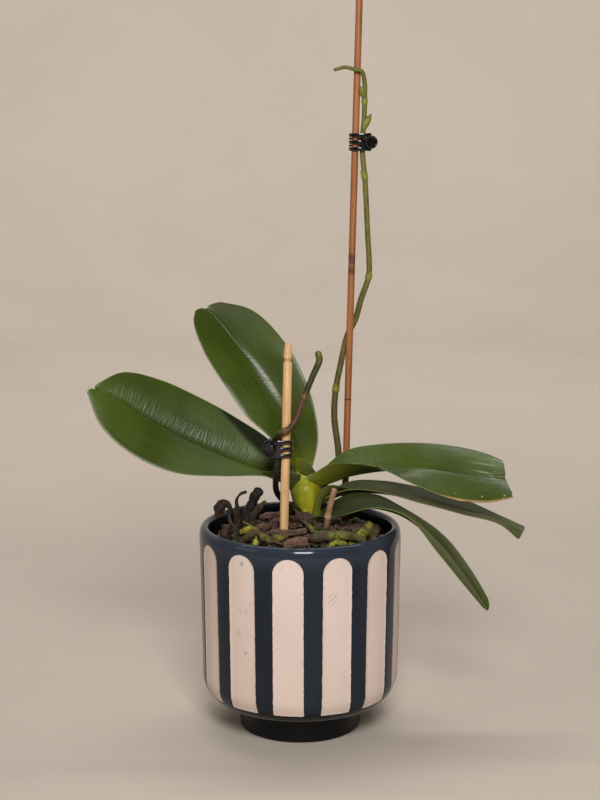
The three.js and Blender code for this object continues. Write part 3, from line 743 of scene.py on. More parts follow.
def pot_radius(height):
    """Outside radius of the body above its foot."""
    if height < FOOT_H + CORNER_R:
        drop = FOOT_H + CORNER_R - height
        return BODY_R - CORNER_R + math.sqrt(max(CORNER_R ** 2 - drop ** 2, 0))
    lip = POT_H - LIP_H
    if height <= lip:
        rise = (height - FOOT_H - CORNER_R) / (lip - FOOT_H - CORNER_R)
        return BODY_R + (POT_R - BODY_R) * rise
    t = 1 - math.sqrt(max(1 - (height - lip) / LIP_H, 0))
    return POT_R - (POT_R - INNER_R - POT_WALL / 2) * t * t


def stripe_columns(half, jitter):
    """Columns of one stripe's pitch, as (degrees from its middle, how bare), left to right."""
    pitch_half = half["pitch"] / 2
    width, edge = half["width"], half["edge"]
    left, right = width + jitter[0], width + jitter[1]
    columns = []
    for k in range(4):
        columns.append((-pitch_half + (pitch_half - left - edge) * k / 4, 0))
    columns += [(-left - edge, 0), (-left, 0.5), (-left + edge, 1)]
    for k in range(1, 8):
        columns.append((-left + edge + (left + right - 2 * edge) * k / 8, 1))
    columns += [(right - edge, 1), (right, 0.5), (right + edge, 0)]
    for k in range(1, 4):
        columns.append((right + edge + (pitch_half - right - edge) * k / 4, 0))
    return columns


def pot_rows(arch, reach):
    """The pot's profile up from its foot, over the lip and down inside, as (radius, height,
    free): free is the height again where stripes may lie, and None elsewhere. The stripes'
    round tops begin at the height arch and reach so far above it."""
    rows = [(r, z, None) for r, z in (
        (12, 0.4), (FOOT_R - 5, 0.4), (FOOT_R - 4, 0), (FOOT_R - 1.4, 0), (FOOT_R - 0.8, 0.12),
        (FOOT_R - 0.3, 0.5), (FOOT_R - 0.05, 1), (FOOT_R, 1.6), (FOOT_R, 6), (FOOT_R, 12),
        (FOOT_R, 17.2), (FOOT_R + 0.3, 18.1), (FOOT_R + 1.3, FOOT_H), (FOOT_R + 3.5, FOOT_H),
    )]
    corner = [FOOT_H + CORNER_R * (1 - math.cos(step / 30 * math.pi)) for step in range(17)]
    heights = [z for z in corner if abs(z - STRIPE_FOOT) > 0.8 and z < EVEN_FROM]
    heights += [STRIPE_FOOT - STEP_W, STRIPE_FOOT, STRIPE_FOOT + STEP_W]
    count = int((arch - EVEN_FROM) / POT_ROW)
    heights += [EVEN_FROM + (arch - EVEN_FROM) * k / count for k in range(count + 1)]
    heights += [arch + reach * math.sin(math.radians(a)) for a in range(6, 90, 6)]
    heights += [STRIPE_TOP, STRIPE_TOP + STEP_W] + LIP_ROWS
    rows += [(pot_radius(z), z, z) for z in sorted(heights)]
    top = INNER_R + POT_WALL / 2
    rows.append((top, POT_H, None))
    for step in range(1, 13):
        t = step / 12
        near, middle, far = (1 - t) ** 2, 2 * t * (1 - t), t * t
        rows.append((near * top + middle * INNER_R + far * INNER_R,
                     near * POT_H + middle * POT_H + far * (POT_H - LIP_H), None))
    rows += [(INNER_R, z, None) for z in INSIDE_ROWS]
    rows += [(INNER_R - 2, BED_FLOOR + 0.6, None), (INNER_R - 5, BED_FLOOR, None),
             (20, BED_FLOOR, None)]
    return rows


def pot_skin(pot):
    """The pot as one turned skin, with the glaze raised round each bare stripe."""
    skin = Skin()
    pitch = 360 / pot.stripes
    reach = math.radians(pitch * pot.stripe_share / 2) * POT_R
    arch = STRIPE_TOP - reach
    glaze = pot.glaze_thick / MM
    rings, paints = [], []
    for radius, height, free in pot_rows(arch, reach):
        ring, paint = [], []
        half = {"pitch": pitch, "width": math.degrees(reach / POT_R),
                "edge": math.degrees(STEP_W / POT_R)}
        striped = 0
        if free is not None:
            half["width"] = math.degrees(reach / radius)
            if free > arch:
                rise = min((free - arch) / reach, 1)
                half["width"] = max(half["width"] * math.sqrt(1 - rise * rise), half["edge"] * 1.3)
            low = min(max((free - STRIPE_FOOT + STEP_W) / (2 * STEP_W), 0), 1)
            high = 1 if free < STRIPE_TOP - 0.05 else (0.5 if free < STRIPE_TOP + 0.05 else 0)
            striped = min(low, high)
        for s in range(pot.stripes):
            shake = [0, 0]
            if free is not None and STRIPE_FOOT < free < arch:
                shake = [noise_at(free * 0.55, s * 7.3, k * 3.1) * 0.22 for k in (0, 1)]
            middle = math.radians(STRIPE_TURN + s * pitch)
            for turn, bare in stripe_columns(half, shake):
                angle = middle + math.radians(turn)
                mask = bare * striped
                wobble = 0.12 * noise_at(math.sin(angle) * 2, math.cos(angle) * 2, height / 30)
                reach_out = radius - glaze * mask + (wobble if FOOT_H < height < POT_H else 0)
                ring.append(Vector((math.sin(angle) * reach_out, -math.cos(angle) * reach_out, height)))
                paint.append((mask, 0, 0))
        rings.append(ring)
        paints.append(paint)
    skin.loft(rings, lambda i, j: (tuple(rings[i][j]), paints[i][j]))
    return skin


# ---------------------------------------------------------------- bark, chips and moss


def shard(skin, rng, middle, size, turns, sides=9, rings=8, rough=0.22):
    """A flaky chip with ragged ends: size is its length, width and thickness."""
    length, width, thick = size
    matrix = Matrix.Translation(middle)
    for axis, turn in zip("ZYX", reversed(turns)):
        matrix = matrix @ Matrix.Rotation(math.radians(turn), 4, axis)
    seed = rng.random() * 90
    bend = rng.uniform(-0.12, 0.12)
    out, paints = [], []
    shade, blush = rng.random() ** 1.3, rng.random() ** 2
    for i in range(rings):
        s = i / (rings - 1)
        full = min(math.sin(math.pi * (0.1 + 0.8 * s)) ** 0.45, 1) * rng.uniform(0.82, 1.08)
        if i in (0, rings - 1):
            full *= 0.55
        ring, paint = [], []
        for j in range(sides):
            turn = j / sides * TURN
            y = math.copysign(abs(math.cos(turn)) ** 0.7, math.cos(turn)) * width / 2 * full
            z = math.copysign(abs(math.sin(turn)) ** 0.8, math.sin(turn)) * thick / 2 * full ** 0.5
            grit = noise_at(s * 3 + seed, j * 1.7, seed)
            x = (s - 0.5) * length + grit * length * 0.06
            arch = bend * length * (4 * (s - 0.5) ** 2 - 0.5)
            point = Vector((x, y * (1 + grit * rough), z * (1 + grit * rough * 1.6) + arch))
            ring.append(matrix @ point)
            paint.append(((x + seed * 10, y, z), (shade, blush, seed)))
        out.append(ring)
        paints.append(paint)
    skin.loft(out, lambda i, j: paints[i][j])


# Each large chip: its middle, its length, width and thickness, and its turns about X, Y and Z.
CHIPS = [
    [[37, 4, -5], [19, 11, 5], [10, -8, 25]],
    [[-3, -43, -2.5], [17, 8, 6], [14, -8, 12]],
    [[3, 1, 4], [13, 8, 6], [16, 12, -14]],
    [[52, 3, -7], [13, 7, 5], [20, -28, 70]],
    [[-8, -26.5, 0.6], [25, 7, 4], [8, -5, -5]],
    [[-20, 28, -2], [18, 12, 5], [-12, 6, 35]],
    [[44, 30, -8], [14, 10, 5], [0, 14, -20]],
    [[25, -20, -4], [10, 8, 5], [6, -12, 40]],
    [[-50, 18, -8], [15, 10, 5], [10, 12, 60]],
]
MOSS_AT = [14, -20, -1]
MOSS_BLADES = 520
CRUMBS = 1100
BED_SIDES = 150
BED_SUNK = 4.6                # how far the soil lies beneath the loose chips


def bed_skin():
    """The crumbly top of the bark, down to a plain bottom inside the pot."""
    skin = Skin()
    profile = [(20, BED_FLOOR + GAP), (BED_R, BED_FLOOR + GAP), (BED_R, 80), (BED_R, 120)]
    profile += [(BED_R * s, None) for s in [1 - k / 34 for k in range(34)]]
    rings = []
    for r, z in profile:
        ring = []
        for c, s in circle(BED_SIDES):
            x, y = r * c, r * s
            level = z
            if z is None:
                spot = Vector((x, y, 0))
                crumble = noise.noise(spot * 0.16) * 1.6 + abs(noise.noise(spot * 0.5)) * 1.6
                crumble += noise.noise(spot * 1.3) * 0.5
                level = POT_H + bark_level(r) - BED_SUNK + crumble * min((BED_R - r) / 3 + 0.3, 1)
            ring.append(Vector((x, y, level)))
        rings.append(ring)
    skin.loft(rings, lambda i, j: (
        tuple(rings[i][j]), (0.04 + 0.14 * abs(noise.noise(rings[i][j] * 0.3)), 0.0, 0.0)))
    return skin


def scatter(seed, count, margin, length_of, spans, **shape):
    """Chips laid at random over the bed. spans holds the least and the most of the width's share
    of the length, the thickness, the height over the bark, and the lean about X and about Y."""
    rng = random.Random(seed)
    skin = Skin()
    for _ in range(count):
        radius = (BED_R - margin) * math.sqrt(rng.random())
        angle = rng.random() * TURN
        length = length_of(rng, radius)
        narrow, thick, level, pitch, roll = [rng.uniform(low, high) for low, high in spans]
        turns = (pitch, roll, rng.uniform(0, 360))
        place = at(radius * math.cos(angle), radius * math.sin(angle), bark_level(radius) + level)
        shard(skin, rng, place, (length, length * narrow, thick), turns, **shape)
    return skin


def mulch_length(rng, radius):
    """The length of a loose chip, short enough to lie inside the pot."""
    length = rng.choice((4, 5, 6, 8, 10, 13)) * rng.uniform(0.8, 1.2)
    if radius + length / 2 > BED_R - 1:
        length = max((BED_R - 1 - radius) * 2, 4)
    return length


def mulch_skin(count):
    """Loose chips scattered over the bed."""
    spans = ((0.3, 0.62), (1.4, 3.4), (-3, 1.8), (-34, 34), (-26, 26))
    return scatter(11, count, 5, mulch_length, spans, sides=9, rings=9, rough=0.55)


def crumb_skin(count):
    """Fine crumbs and splinters between the chips."""
    spans = ((0.25, 0.7), (0.5, 1.4), (-0.9, 0.8), (-40, 40), (-30, 30))
    return scatter(29, count, 3, lambda rng, _: rng.uniform(1.2, 4.5), spans, sides=5, rings=4)


def moss_skin():
    """A tuft of short curled blades over a small cushion."""
    rng = random.Random(5)
    skin = Skin()
    middle = at(*MOSS_AT)
    shard(skin, rng, middle - Vector((0, 0, 0.6)), (12, 8, 5), (0, 0, 20), sides=12, rings=10)
    for _ in range(MOSS_BLADES):
        angle, away = rng.random() * TURN, math.sqrt(rng.random())
        foot = middle + Vector((6.4 * away * math.cos(angle), 4.2 * away * math.sin(angle),
                                1.4 * (1 - away * away)))
        lean = Vector((math.cos(angle), math.sin(angle), 0)) * rng.uniform(0.2, 1.2)
        reach = (rng.uniform(-0.6, 0.6), rng.uniform(-0.6, 0.6), rng.uniform(0.7, 1.7))
        tip = foot + lean + Vector(reach)
        middle_point = foot.lerp(tip, 0.5) + Vector((0, 0, 0.3))
        thick = rng.uniform(0.13, 0.24)
        shade = rng.random()
        start = len(skin.points)
        tube(skin, [foot, middle_point, tip], lambda s, t, w=thick: w * (1 - 0.7 * s), 4, shade)
        for k in range(start, len(skin.points)):
            skin.share[k] = (shade, skin.share[k][0], 0.0)
    return skin


# ---------------------------------------------------------------- crown, leaves and roots

CROWN_Y = 15
CROWN_STEPS = 84
CROWN_SIDES = 64
# Height, middle across, half width and half depth of the crown's rings.
CROWN_RINGS = [
    (-34, 6, 4.5, 4.5), (-8, 6.3, 6.5, 6), (4, 5.6, 7.8, 6.8), (12, 4.2, 9.3, 7.6),
    (20, 3.2, 10.8, 8), (26, 4, 10, 7.4), (30.5, 5.2, 8.3, 6.6),
]
# The upper edge of the dry husk on the crown.
HUSK = [(-5.6, 5, 12.6), (-4.2, 3.4, 9.6), (-1.6, 2.6, 8), (1.6, 2.4, 7.4), (5.4, 3.4, 8.4)]
# Where a leaf's base clasps the crown: upper edge, lower edge, and how far it swells between.
FOLDS = {
    "leaf_back_left": (
        [(-3.4, 14.5, 43.4), (2.6, 12.6, 42.3), (7, 11.8, 39.1), (10.8, 11, 34.3)],
        [(-3.4, 17, 30), (0, 15, 28), (5, 13, 26.5), (11, 12, 26.5)], 0.6),
    "leaf_upper_right": (
        [(4.2, 8.4, 31.6), (11, 8.6, 34.5), (19, 9.2, 39.1), (27, 9.5, 40.7), (40, 8.2, 40),
         (56, 6.6, 38.2)],
        [(7.5, 10, 26), (13.8, 12.5, 23.2), (20.7, 16, 24.3), (28, 18, 26.5), (41, 18, 31.5),
         (57, 11, 36.6)], 1.2),
    "leaf_left": (
        [(-26, 1, 36.6), (-14, 5, 35.4), (-7, 6.8, 34.5), (0.6, 8, 32.9)],
        [(-26, 9, 32), (-13.3, 11, 26.4), (-6.4, 11, 21), (-1, 11, 20)], 1),
    "leaf_mid_right": (
        [(7.6, 8.4, 3), (10, 8, 12.5), (12.1, 8.2, 18.9), (15.3, 9, 22.3), (21, 10, 24.9),
         (33, 9.8, 22.8)],
        [(14, 9, 2), (15.2, 9, 12), (17.2, 10, 15.6), (21.2, 12, 18.4), (27, 15, 19.4),
         (36, 14, 20.2)], 1.6),
}
# Each leaf from base to tip: its left edge, its midrib and its right edge.
LEAVES = {
    "leaf_left": {
        "left": [(-2, 11, 24), (-24, -1, 34), (-52, -10, 36), (-84, -14, 39),
                 (-112, -15, 51), (-135, -12, 71), (-145.4, -5, 95)],
        "rib": [(-1, 14, 26), (-24, 14, 34), (-50, 11, 45), (-78, 8, 58),
                (-104, 5, 73), (-126, 2, 89), (-141, -2, 96)],
        "right": [(0, 17, 30), (-20, 22, 53.5), (-42, 24, 68.7), (-68, 23, 83.9),
                  (-96, 19, 97.7), (-122, 12, 104.5), (-139, 4, 98)],
    },
    "leaf_back_left": {
        "left": [(0, 18, 24), (-19, 27, 52.7), (-38, 33, 69.9), (-55, 40, 92.9),
                 (-69, 48, 114.7), (-76, 57, 133.4), (-75, 64, 142)],
        "rib": [(3, 18, 24), (-3, 39, 55.6), (-16, 48, 77.3), (-31, 57, 98.1),
                (-47, 64, 118.3), (-61, 68, 135.5), (-69, 69, 142.8)],
        "right": [(6, 18, 25), (13, 31, 54), (10, 39, 75.4), (3, 48, 95.4),
                  (-11, 57, 119.4), (-34, 67, 140.9), (-60, 71, 147.2)],
    },
    "leaf_upper_right": {
        "left": [(7, 17, 26), (32, 27, 46), (58, 31, 50), (86, 33, 51),
                 (112, 32, 48), (133, 28, 43.6), (143.6, 24, 39.6)],
        "rib": [(7, 15, 24), (33, 17, 31), (57, 18, 34.6), (84, 16.5, 35.4),
                (109, 12.5, 33), (129, 9.5, 30.4), (145.4, 8.5, 29)],
        "right": [(7, 13, 25), (33, 10, 40), (55, 7, 38), (80, 2, 27),
                  (104, -5, 19), (127, -8, 17), (148, -8, 20.5)],
    },
    "leaf_mid_right": {
        "left": [(9, 17, 12), (34, 25, 24), (60, 31, 24), (86, 34, 18),
                 (112, 36, 11), (139, 32, 0), (160.5, 25, -9)],
        "rib": [(9, 15, 11), (33, 17, 20), (59, 20, 19), (85, 22, 13),
                (112, 23, 5), (140, 24, -2.4), (158.5, 23, -13)],
        "right": [(9, 13, 12), (33, 10, 22), (58, 10, 20), (84, 10, 13),
                  (112, 11, 5), (139, 15, -3), (155.2, 21, -17.4)],
    },
    "leaf_lower_right": {
        "left": [(10, 14, 3), (32, 6, 19), (52, 6, 20), (72, 5, 10),
                 (97, 4, -6), (118, 3, -31), (133, -5, -56)],
        "rib": [(9, 11, 2), (29, -3, 12), (50, -10, 16), (72, -11, 10),
                (96, -12, -10), (115, -12, -34), (131, -11, -59)],
        "right": [(8, 9, 3), (25, -11, 8), (51, -27, 18), (73, -30, 12),
                  (94, -30, -13), (112, -27, -36), (128, -17, -57)],
    },
}
# How deep each tip's notch is and how far its corners are rounded off, as shares of the length,
# then how high the midrib stands between the halves, and over what width, in millimetres.
TIPS = {
    "leaf_left": (0.02, 0.012, -1.5, 5.5), "leaf_back_left": (0.022, 0.024, 3, 5.5),
    "leaf_upper_right": (0.004, 0.01, 0.35, 7), "leaf_mid_right": (0.004, 0.006, -0.8, 4),
    "leaf_lower_right": (0, 0.03, -0.8, 3),
}
# How deep the groove along a leaf's rib is, in millimetres, and where it differs.
GROOVE = 0.45
GROOVES = {"leaf_back_left": 0.1, "leaf_upper_right": 0.2}
# Columns of points from the rib to an edge, as shares of the way.
ACROSS = (0, 0.025, 0.06, 0.11, 0.18, 0.27, 0.37, 0.49, 0.61, 0.73, 0.84, 0.92, 0.965, 0.99, 1)
LEAF_STEPS = 96
RAIL_STEPS = 300


def leaf_skin(name, seed):
    """A leaf between its two edges and its midrib, with a groove above and a keel beneath."""
    rails = [Rail([at(*p) for p in LEAVES[name][side]]) for side in ("left", "rib", "right")]
    fine = RAIL_STEPS
    table = [[rail.at(i / fine) for rail in rails] for i in range(fine + 1)]
    along = [0]
    for low, high in zip(table, table[1:]):
        along.append(along[-1] + (high[1] - low[1]).length)
    ups = []
    for i, (left, middle, right) in enumerate(table):
        ahead = table[min(i + 1, fine)][1] - table[max(i - 1, 0)][1]
        ups.append((right - left).cross(ahead).normalized())
    notch, corner, ridge, spread = TIPS[name]
    shares = [-a for a in reversed(ACROSS[1:])] + list(ACROSS)
    rings, paints = [], []
    for step in range(LEAF_STEPS + 1):
        upper, under, paint_up, paint_down = [], [], [], []
        for a in shares:
            s = step / LEAF_STEPS
            trim = notch * bell(a, 0.25) + corner * (1 - math.sqrt(1 - a * a))
            if name == "leaf_upper_right":
                trim += 0.008 * noise_at(a * 5, seed, 0) + 0.016 * (1 - a * a)
            place = min(max(s * (1 - trim * s ** 8), 0), 1) * fine
            low = min(int(place), fine - 1)
            u = place - low
            left, middle, right = [p.lerp(q, u) for p, q in zip(table[low], table[low + 1])]
            up = ups[low].lerp(ups[low + 1], u)
            t = place / fine
            edge = left if a < 0 else right
            reach = (edge - middle).length
            off = abs(a)
            calm = 0.3 if name == "leaf_left" and a < 0 else 1
            bulge = reach * 0.1 * off * (1 - off) * calm
            rise = bell(t - 0.45, 0.22) if name == "leaf_back_left" else 1 - 0.5 * t
            bulge += ridge * math.exp(-off * reach / spread) * rise * calm
            wave = noise_at(a * 1.3 + seed, t * 5, seed) * 0.9 * off * ease(0.1, 0.3, t)
            groove = GROOVES.get(name, GROOVE) * bell(off * reach, 1.3) * (1 - 0.8 * t)
            if name == "leaf_upper_right" and a > 0.95:
                nibble = noise_at(t * 34, 3, seed)
                nibble += 0.5 * noise_at(t * 90, 7, seed)
                off -= 0.05 * max(nibble, 0) * ease(0.58, 0.7, t) * (a - 0.95) / 0.05
            crown_off = 0 if off < 0.99 else (0.35 if off < 1 else 0.55)
            thick = LEAF_THICK * (1 - 0.55 * off ** 2) * (1 - 0.45 * ease(0.7, 1, t))
            keel = 0.7 * bell(off * reach, 2.4) * (1 - t)
            point = middle.lerp(edge, off) + up * (bulge + wave)
            upper.append(point - up * (groove + thick * crown_off * 0.6))
            under.append(point - up * (thick + keel - thick * crown_off * 0.4))
            run = along[low] + (along[low + 1] - along[low]) * u
            spot = math.copysign(off * reach, a)
            paint_up.append(((spot, run, 1.0), (off, t, seed)))
            paint_down.append(((spot, run, 0.0), (off, t, seed)))
        rings.append(upper + under[::-1])
        paints.append(paint_up + paint_down[::-1])
    skin = Skin()
    skin.loft(rings, lambda i, j: paints[i][j], "strip")
    if name in FOLDS:
        fold_sheet(skin, *FOLDS[name])
    return skin


def crown_skin():
    """The swollen base, cut slanting at its top, with the dry husk on it."""
    skin = Skin()
    steps, sides = CROWN_STEPS, CROWN_SIDES
    middles = Rail([(height, x, 0) for height, x, _, _ in CROWN_RINGS])
    halves = Rail([(half_x, half_y, 0) for _, _, half_x, half_y in CROWN_RINGS])
    inward = ((0.95, 0.5), (0.86, 0.2), (0.8, -1.5), (0.74, -4))
    rings, paints = [], []
    for i in range(steps + 1 + len(inward)):
        share = min(i / steps, 1)
        height, x, _ = middles.at(share)
        half_x, half_y, _ = halves.at(share)
        shrink, lift = inward[i - steps - 1] if i > steps else (1, 0)
        ring, paint = [], []
        for j in range(sides):
            angle = j / sides * TURN
            fold = 0.45 * math.sin(angle * 3 + height * 0.06) * ease(-6, 20, height)
            scar = 0.5 * bell(height - 6.5 + 1.8 * math.cos(angle + 1), 0.6)
            rough = 0.35 * noise_at(math.cos(angle) * 2, math.sin(angle) * 2, height * 0.2)
            grow = fold + rough - scar
            slant = -3.2 * math.cos(angle) * ease(0.55, 1, share)
            ring.append(at(x + (half_x + grow) * shrink * math.cos(angle),
                           CROWN_Y + (half_y + grow) * shrink * math.sin(angle),
                           height + slant + lift))
            paint.append(((math.cos(angle) * 7, math.sin(angle) * 7, height),
                          (ease(0.95, 1, share), 0, 0)))
        rings.append(ring)
        paints.append(paint)
    skin.loft(rings, lambda i, j: paints[i][j])
    fold_sheet(skin, HUSK, [(x + 0.6, y + 1.6, z - 2.2) for x, y, z in HUSK], 0.5)
    return skin


def fold_sheet(skin, upper, lower, swelling):
    """The outside of a leaf's base: a sheet that swells forward between two edges."""
    rails = [Rail([at(*p) for p in edge]).even(36) for edge in (upper, lower)]
    across_steps = 12
    rings = []
    for high, low in zip(*rails):
        front, back = [], []
        for k in range(across_steps + 1):
            a = k / across_steps
            point = high.lerp(low, a) - Vector((0, swelling * math.sin(math.pi * a), 0))
            thick = 0.5 + 0.8 * math.sin(math.pi * a)
            front.append(point)
            back.append(point + Vector((0, thick, 0)))
        rings.append(front + back[::-1])
    count = len(rings[0])

    def paint(i, j):
        down = min(j, count - 1 - j) / across_steps
        return (6 + down * 8, i * 0.4, 0), (1 - down, 0.03 + 0.11 * i / (len(rings) - 1), 0)

    skin.loft(rings, paint, "strip")


# Each root: the points it runs through, its radius along them, and its kind.
ROOTS = {
    "root_hook": ([(-44, -17, -9), (-44.2, -16, -2), (-45.5, -15, 2.3), (-47.3, -14, 4.7),
                   (-48.6, -13, 8.1), (-48, -12, 12.8), (-50.1, -12, 16.5), (-53.2, -12, 16.6),
                   (-55.3, -13, 13.5), (-55.3, -14, 9.4)],
                  (2.6, 2.6, 2.2, 1.3, 1.1, 1.2, 1.7, 3.2, 3.9, 3.1), "brown"),
    "root_thin_hook": ([(-42.2, -6, -8), (-42.6, -6, 1.8), (-43.5, -5, 9.7), (-43.6, -4, 15.8),
                        (-42.6, -4, 19.6), (-39.6, -3, 22.3), (-37.3, -2, 23)],
                       (2.2, 2.2, 2.5, 2, 1.3, 0.8, 1.2), "brown"),
    "root_black": ([(-38, 4, -8), (-37.4, 4, 2), (-35.1, 5, 9), (-31.6, 5, 16.8), (-28.6, 4, 22.3)],
                   (3.8, 4.1, 3.5, 3.2, 3.6), "dark"),
    "root_olive_short": ([(-34, -4, -8), (-33, -4, 4), (-29.6, -4, 10.8), (-26, -5, 14.6),
                          (-24.2, -6, 16)], (2.6, 2.6, 2.3, 2.5, 1.6), "olive"),
    "root_grey": ([(-43.9, -24, -12), (-43.9, -24, -4.8), (-44, -23, -0.1), (-44.8, -22, 3.6)],
                  (2.8, 2.9, 2.7, 2), "grey"),
    "root_yellow": ([(-40.3, -18, -1.6), (-36.2, -19, 0.6), (-32.6, -18, 1.1), (-29.8, -17, -0.3)],
                    (1.8, 2.2, 1.8, 0.9), "yellow"),
    "root_twisted": ([(-31, -29, 0.4), (-28.9, -30, 1.2), (-23.7, -33, -1.1), (-19.4, -35, -2.8),
                      (-15.1, -36, -1), (-10.6, -36, 0.2), (-8.6, -35.6, 0)],
                     (1.4, 1.9, 2.2, 3, 2.8, 2.1, 1.2), "moss"),
    "root_olive_low": ([(-40, -38, -7), (-39, -38, -2.8), (-34.7, -37, 0.2), (-29, -34, 1.5)],
                       (2.2, 2.3, 2.4, 1.6), "olive"),
    "root_straw": ([(-39.7, -12, 4.2), (-35.5, -14, 2.8), (-30.6, -16, 0.7)], (0.45, 0.6, 0.5),
                   "straw"),
    "root_green_long": ([(8.5, -34, -2.1), (13.2, -36, 0), (18.4, -37, 1.1), (28.6, -37, 0.8),
                         (39.5, -34, -1.9), (43, -33, -4)], (3, 3.7, 3.3, 3, 2.7, 2.3), "green"),
    "root_green_short": ([(35, -30, -9), (36.2, -29, -6.8), (41.9, -27, -1.3), (48, -24, 4.8)],
                         (2.8, 3.3, 3.4, 3.1), "lime"),
    "root_yellow_green": ([(20, -46, -5), (22.1, -45, -2.7), (25.9, -45, -1.9), (30.2, -43, -3.9)],
                          (1.5, 1.9, 2, 1.6), "lime"),
    "root_back": ([(20, 22, -8), (12, 36, -1), (-6, 44, -2), (-22, 46, -10)], (2.6, 2.8, 2.6), "olive"),
}
# Thin ends that grow out beside a root, each made with it.
SIDE_ROOTS = {
    "root_yellow": ([(-29.9, -41, -4.5), (-29.8, -40.6, -2), (-29.7, -40, 0.6)], (2, 1.6, 0.4)),
    "root_green_long": ([(2.4, -3, 2), (3.9, -8, 2.5), (6.9, -18, 1.3), (10.9, -28, 0.2)],
                        (1.4, 1.7, 1.7, 1.4)),
    "root_hook": ([(-50.6, -23, -6), (-51, -22.5, 0), (-48.4, -22, 3)], (2.4, 3.1, 1.8)),
    "root_thin_hook": ([(-44.6, -12, 3), (-43.4, -11, 8), (-42, -10, 12.4)], (0.7, 0.9, 0.3)),
}
# Each kind of root: its fresh colour, its old one, and that of its dry flecks.
ROOT_TONES = {
    "green": (tone(112, 112, 38), tone(80, 74, 36), tone(140, 138, 88)),
    "lime": (tone(142, 146, 46), tone(104, 102, 34), tone(168, 168, 84)),
    "yellow": (tone(166, 160, 50), tone(128, 114, 38), tone(200, 192, 104)),
    "moss": (tone(122, 116, 50), tone(66, 56, 26), tone(150, 142, 88)),
    "olive": (tone(78, 74, 32), tone(48, 40, 22), tone(120, 112, 74)),
    "grey": (tone(62, 60, 34), tone(40, 34, 20), tone(112, 106, 80)),
    "brown": (tone(62, 44, 26), tone(34, 24, 15), tone(112, 88, 62)),
    "dark": (tone(30, 22, 16), tone(17, 13, 10), tone(66, 52, 40)),
    "straw": (tone(160, 132, 70), tone(120, 96, 50), tone(196, 174, 114)),
}
DARK_ROOTS = ("root_black", "root_hook", "root_thin_hook")


def root_skin(name, seed):
    """A wrinkled root, lumpy along its length and blunt where it was broken."""
    skin = Skin()
    lumpy = 0.16 if ROOTS[name][2] in ("green", "lime") else 0.3
    lines = [ROOTS[name][:2]] + ([SIDE_ROOTS[name]] if name in SIDE_ROOTS else [])
    for k, (points, radii) in enumerate(lines):
        path = Rail([at(*p) for p in points]).even(70)
        for i, point in enumerate(path):
            sway = Vector((noise_at(i * 0.09, seed, side) for side in (1.5, 4.5, 7.5)))
            path[i] = point + sway * 0.7

        def radius(share, turn):
            around = Vector((math.cos(turn * TURN), math.sin(turn * TURN), seed + k))
            lump = lumpy * noise.noise(around * 0.9 + Vector((0, 0, share * 7)))
            crease = lumpy * 0.5 * noise.noise(around * 2.4 + Vector((0, 0, share * 24)))
            return swell(share, radii) * (1 + lump + crease)

        tube(skin, path, radius, 28, seed, (0.5, 0.7))
    return skin


# ---------------------------------------------------------------- spikes and stakes


def stake_axis(stake, height):
    """The middle of a leaning stake at a height."""
    return at(stake["x"] + stake["lean"] * height, stake["y"], height)


def beside(stake, angle, height, space):
    """A point of a spike on the side of its stake that faces angle, with a space between them."""
    reach = stake["radius"] + SPIKE_R + space
    return stake_axis(stake, height) + facing(angle) * reach


def by_tall(angle, height, space):
    """A point of the tall spike beside its stake."""
    return beside(TALL_STAKE, angle, height, space)


def by_short(angle, height, space):
    """A point of the short spike beside its stake."""
    return beside(SHORT_STAKE, angle, height, space)


TALL_ROUTE = [at(9, 18, 8), at(17, 31, 20)] + [by_tall(*stop) for stop in (
    (158, 34, 1.5), (158, 44, 1.6), (160, 68, 5.2), (157, 87, 5), (140, 109, 2.2), (105, 126, 1.5),
    (50, 138, 1.5), (20, 152, 3.2), (0, 169, 7.6), (0, 181, 7.4), (0, 197, 6), (0, 216, 4.6),
    (0, 235, 3), (0, TALL_CLIP_Z - CLIP_HALF, CLIP_SPACE), (0, TALL_CLIP_Z + CLIP_HALF, CLIP_SPACE),
    (-6, 277, 1.2), (-12, 290, 1.2), (-22, 301, 1.1), (-62, 308.5, 1.3), (-112, 309.8, 1.4),
    (-150, 311.2, 5), (-158, 309.6, 12),
)]
# Radii along a spike are shares of SPIKE_R, and nodes are given by height.
TALL_RADII = [1.2, 1.15, 1.1, 1.05, 1, 1, 0.95, 0.9, 0.9, 0.85, 0.8, 0.55]
SHORT_ROUTE = [
    at(1, 11, 5), at(-9, 4, 13), at(-14, 0, 19), at(-16.5, -7, 26), by_short(165, 42, 1.1),
    by_short(180, SHORT_CLIP_Z - CLIP_HALF, CLIP_SPACE),
    by_short(184, SHORT_CLIP_Z + CLIP_HALF, CLIP_SPACE), by_short(228, 68, 1.1),
    by_short(284, 71, 1.2), at(-2, -22.5, 79), at(1, -20.5, 88), at(4, -19, 95),
    at(8.5, -17.5, 106), at(13, -16.5, 117), at(12.3, -16, 121),
]
SHORT_RADII = [1, 1, 1, 1, 1, 0.95, 0.95, 1.1]
OLD_STUB = [at(11, 11, -6), at(15, -3, -5), at(18, -13, 1), at(19.5, -16, 11), at(23.5, -16, 28)]
OLD_STUB_R = 2
TALL_NODES = (88, 167.4, 236.5, 288)
SHORT_NODES = (69.6, 91.6)
# Each bract's height, the way it faces and its length.
TALL_BRACTS = ((88, 250, 5), (167.4, 300, 5.5), (236.5, 190, 5), (270, 330, 8))
SHORT_BRACTS = ((69.6, 285, 4), (91.6, 270, 4.5))
STUB_NODES = (8.5,)


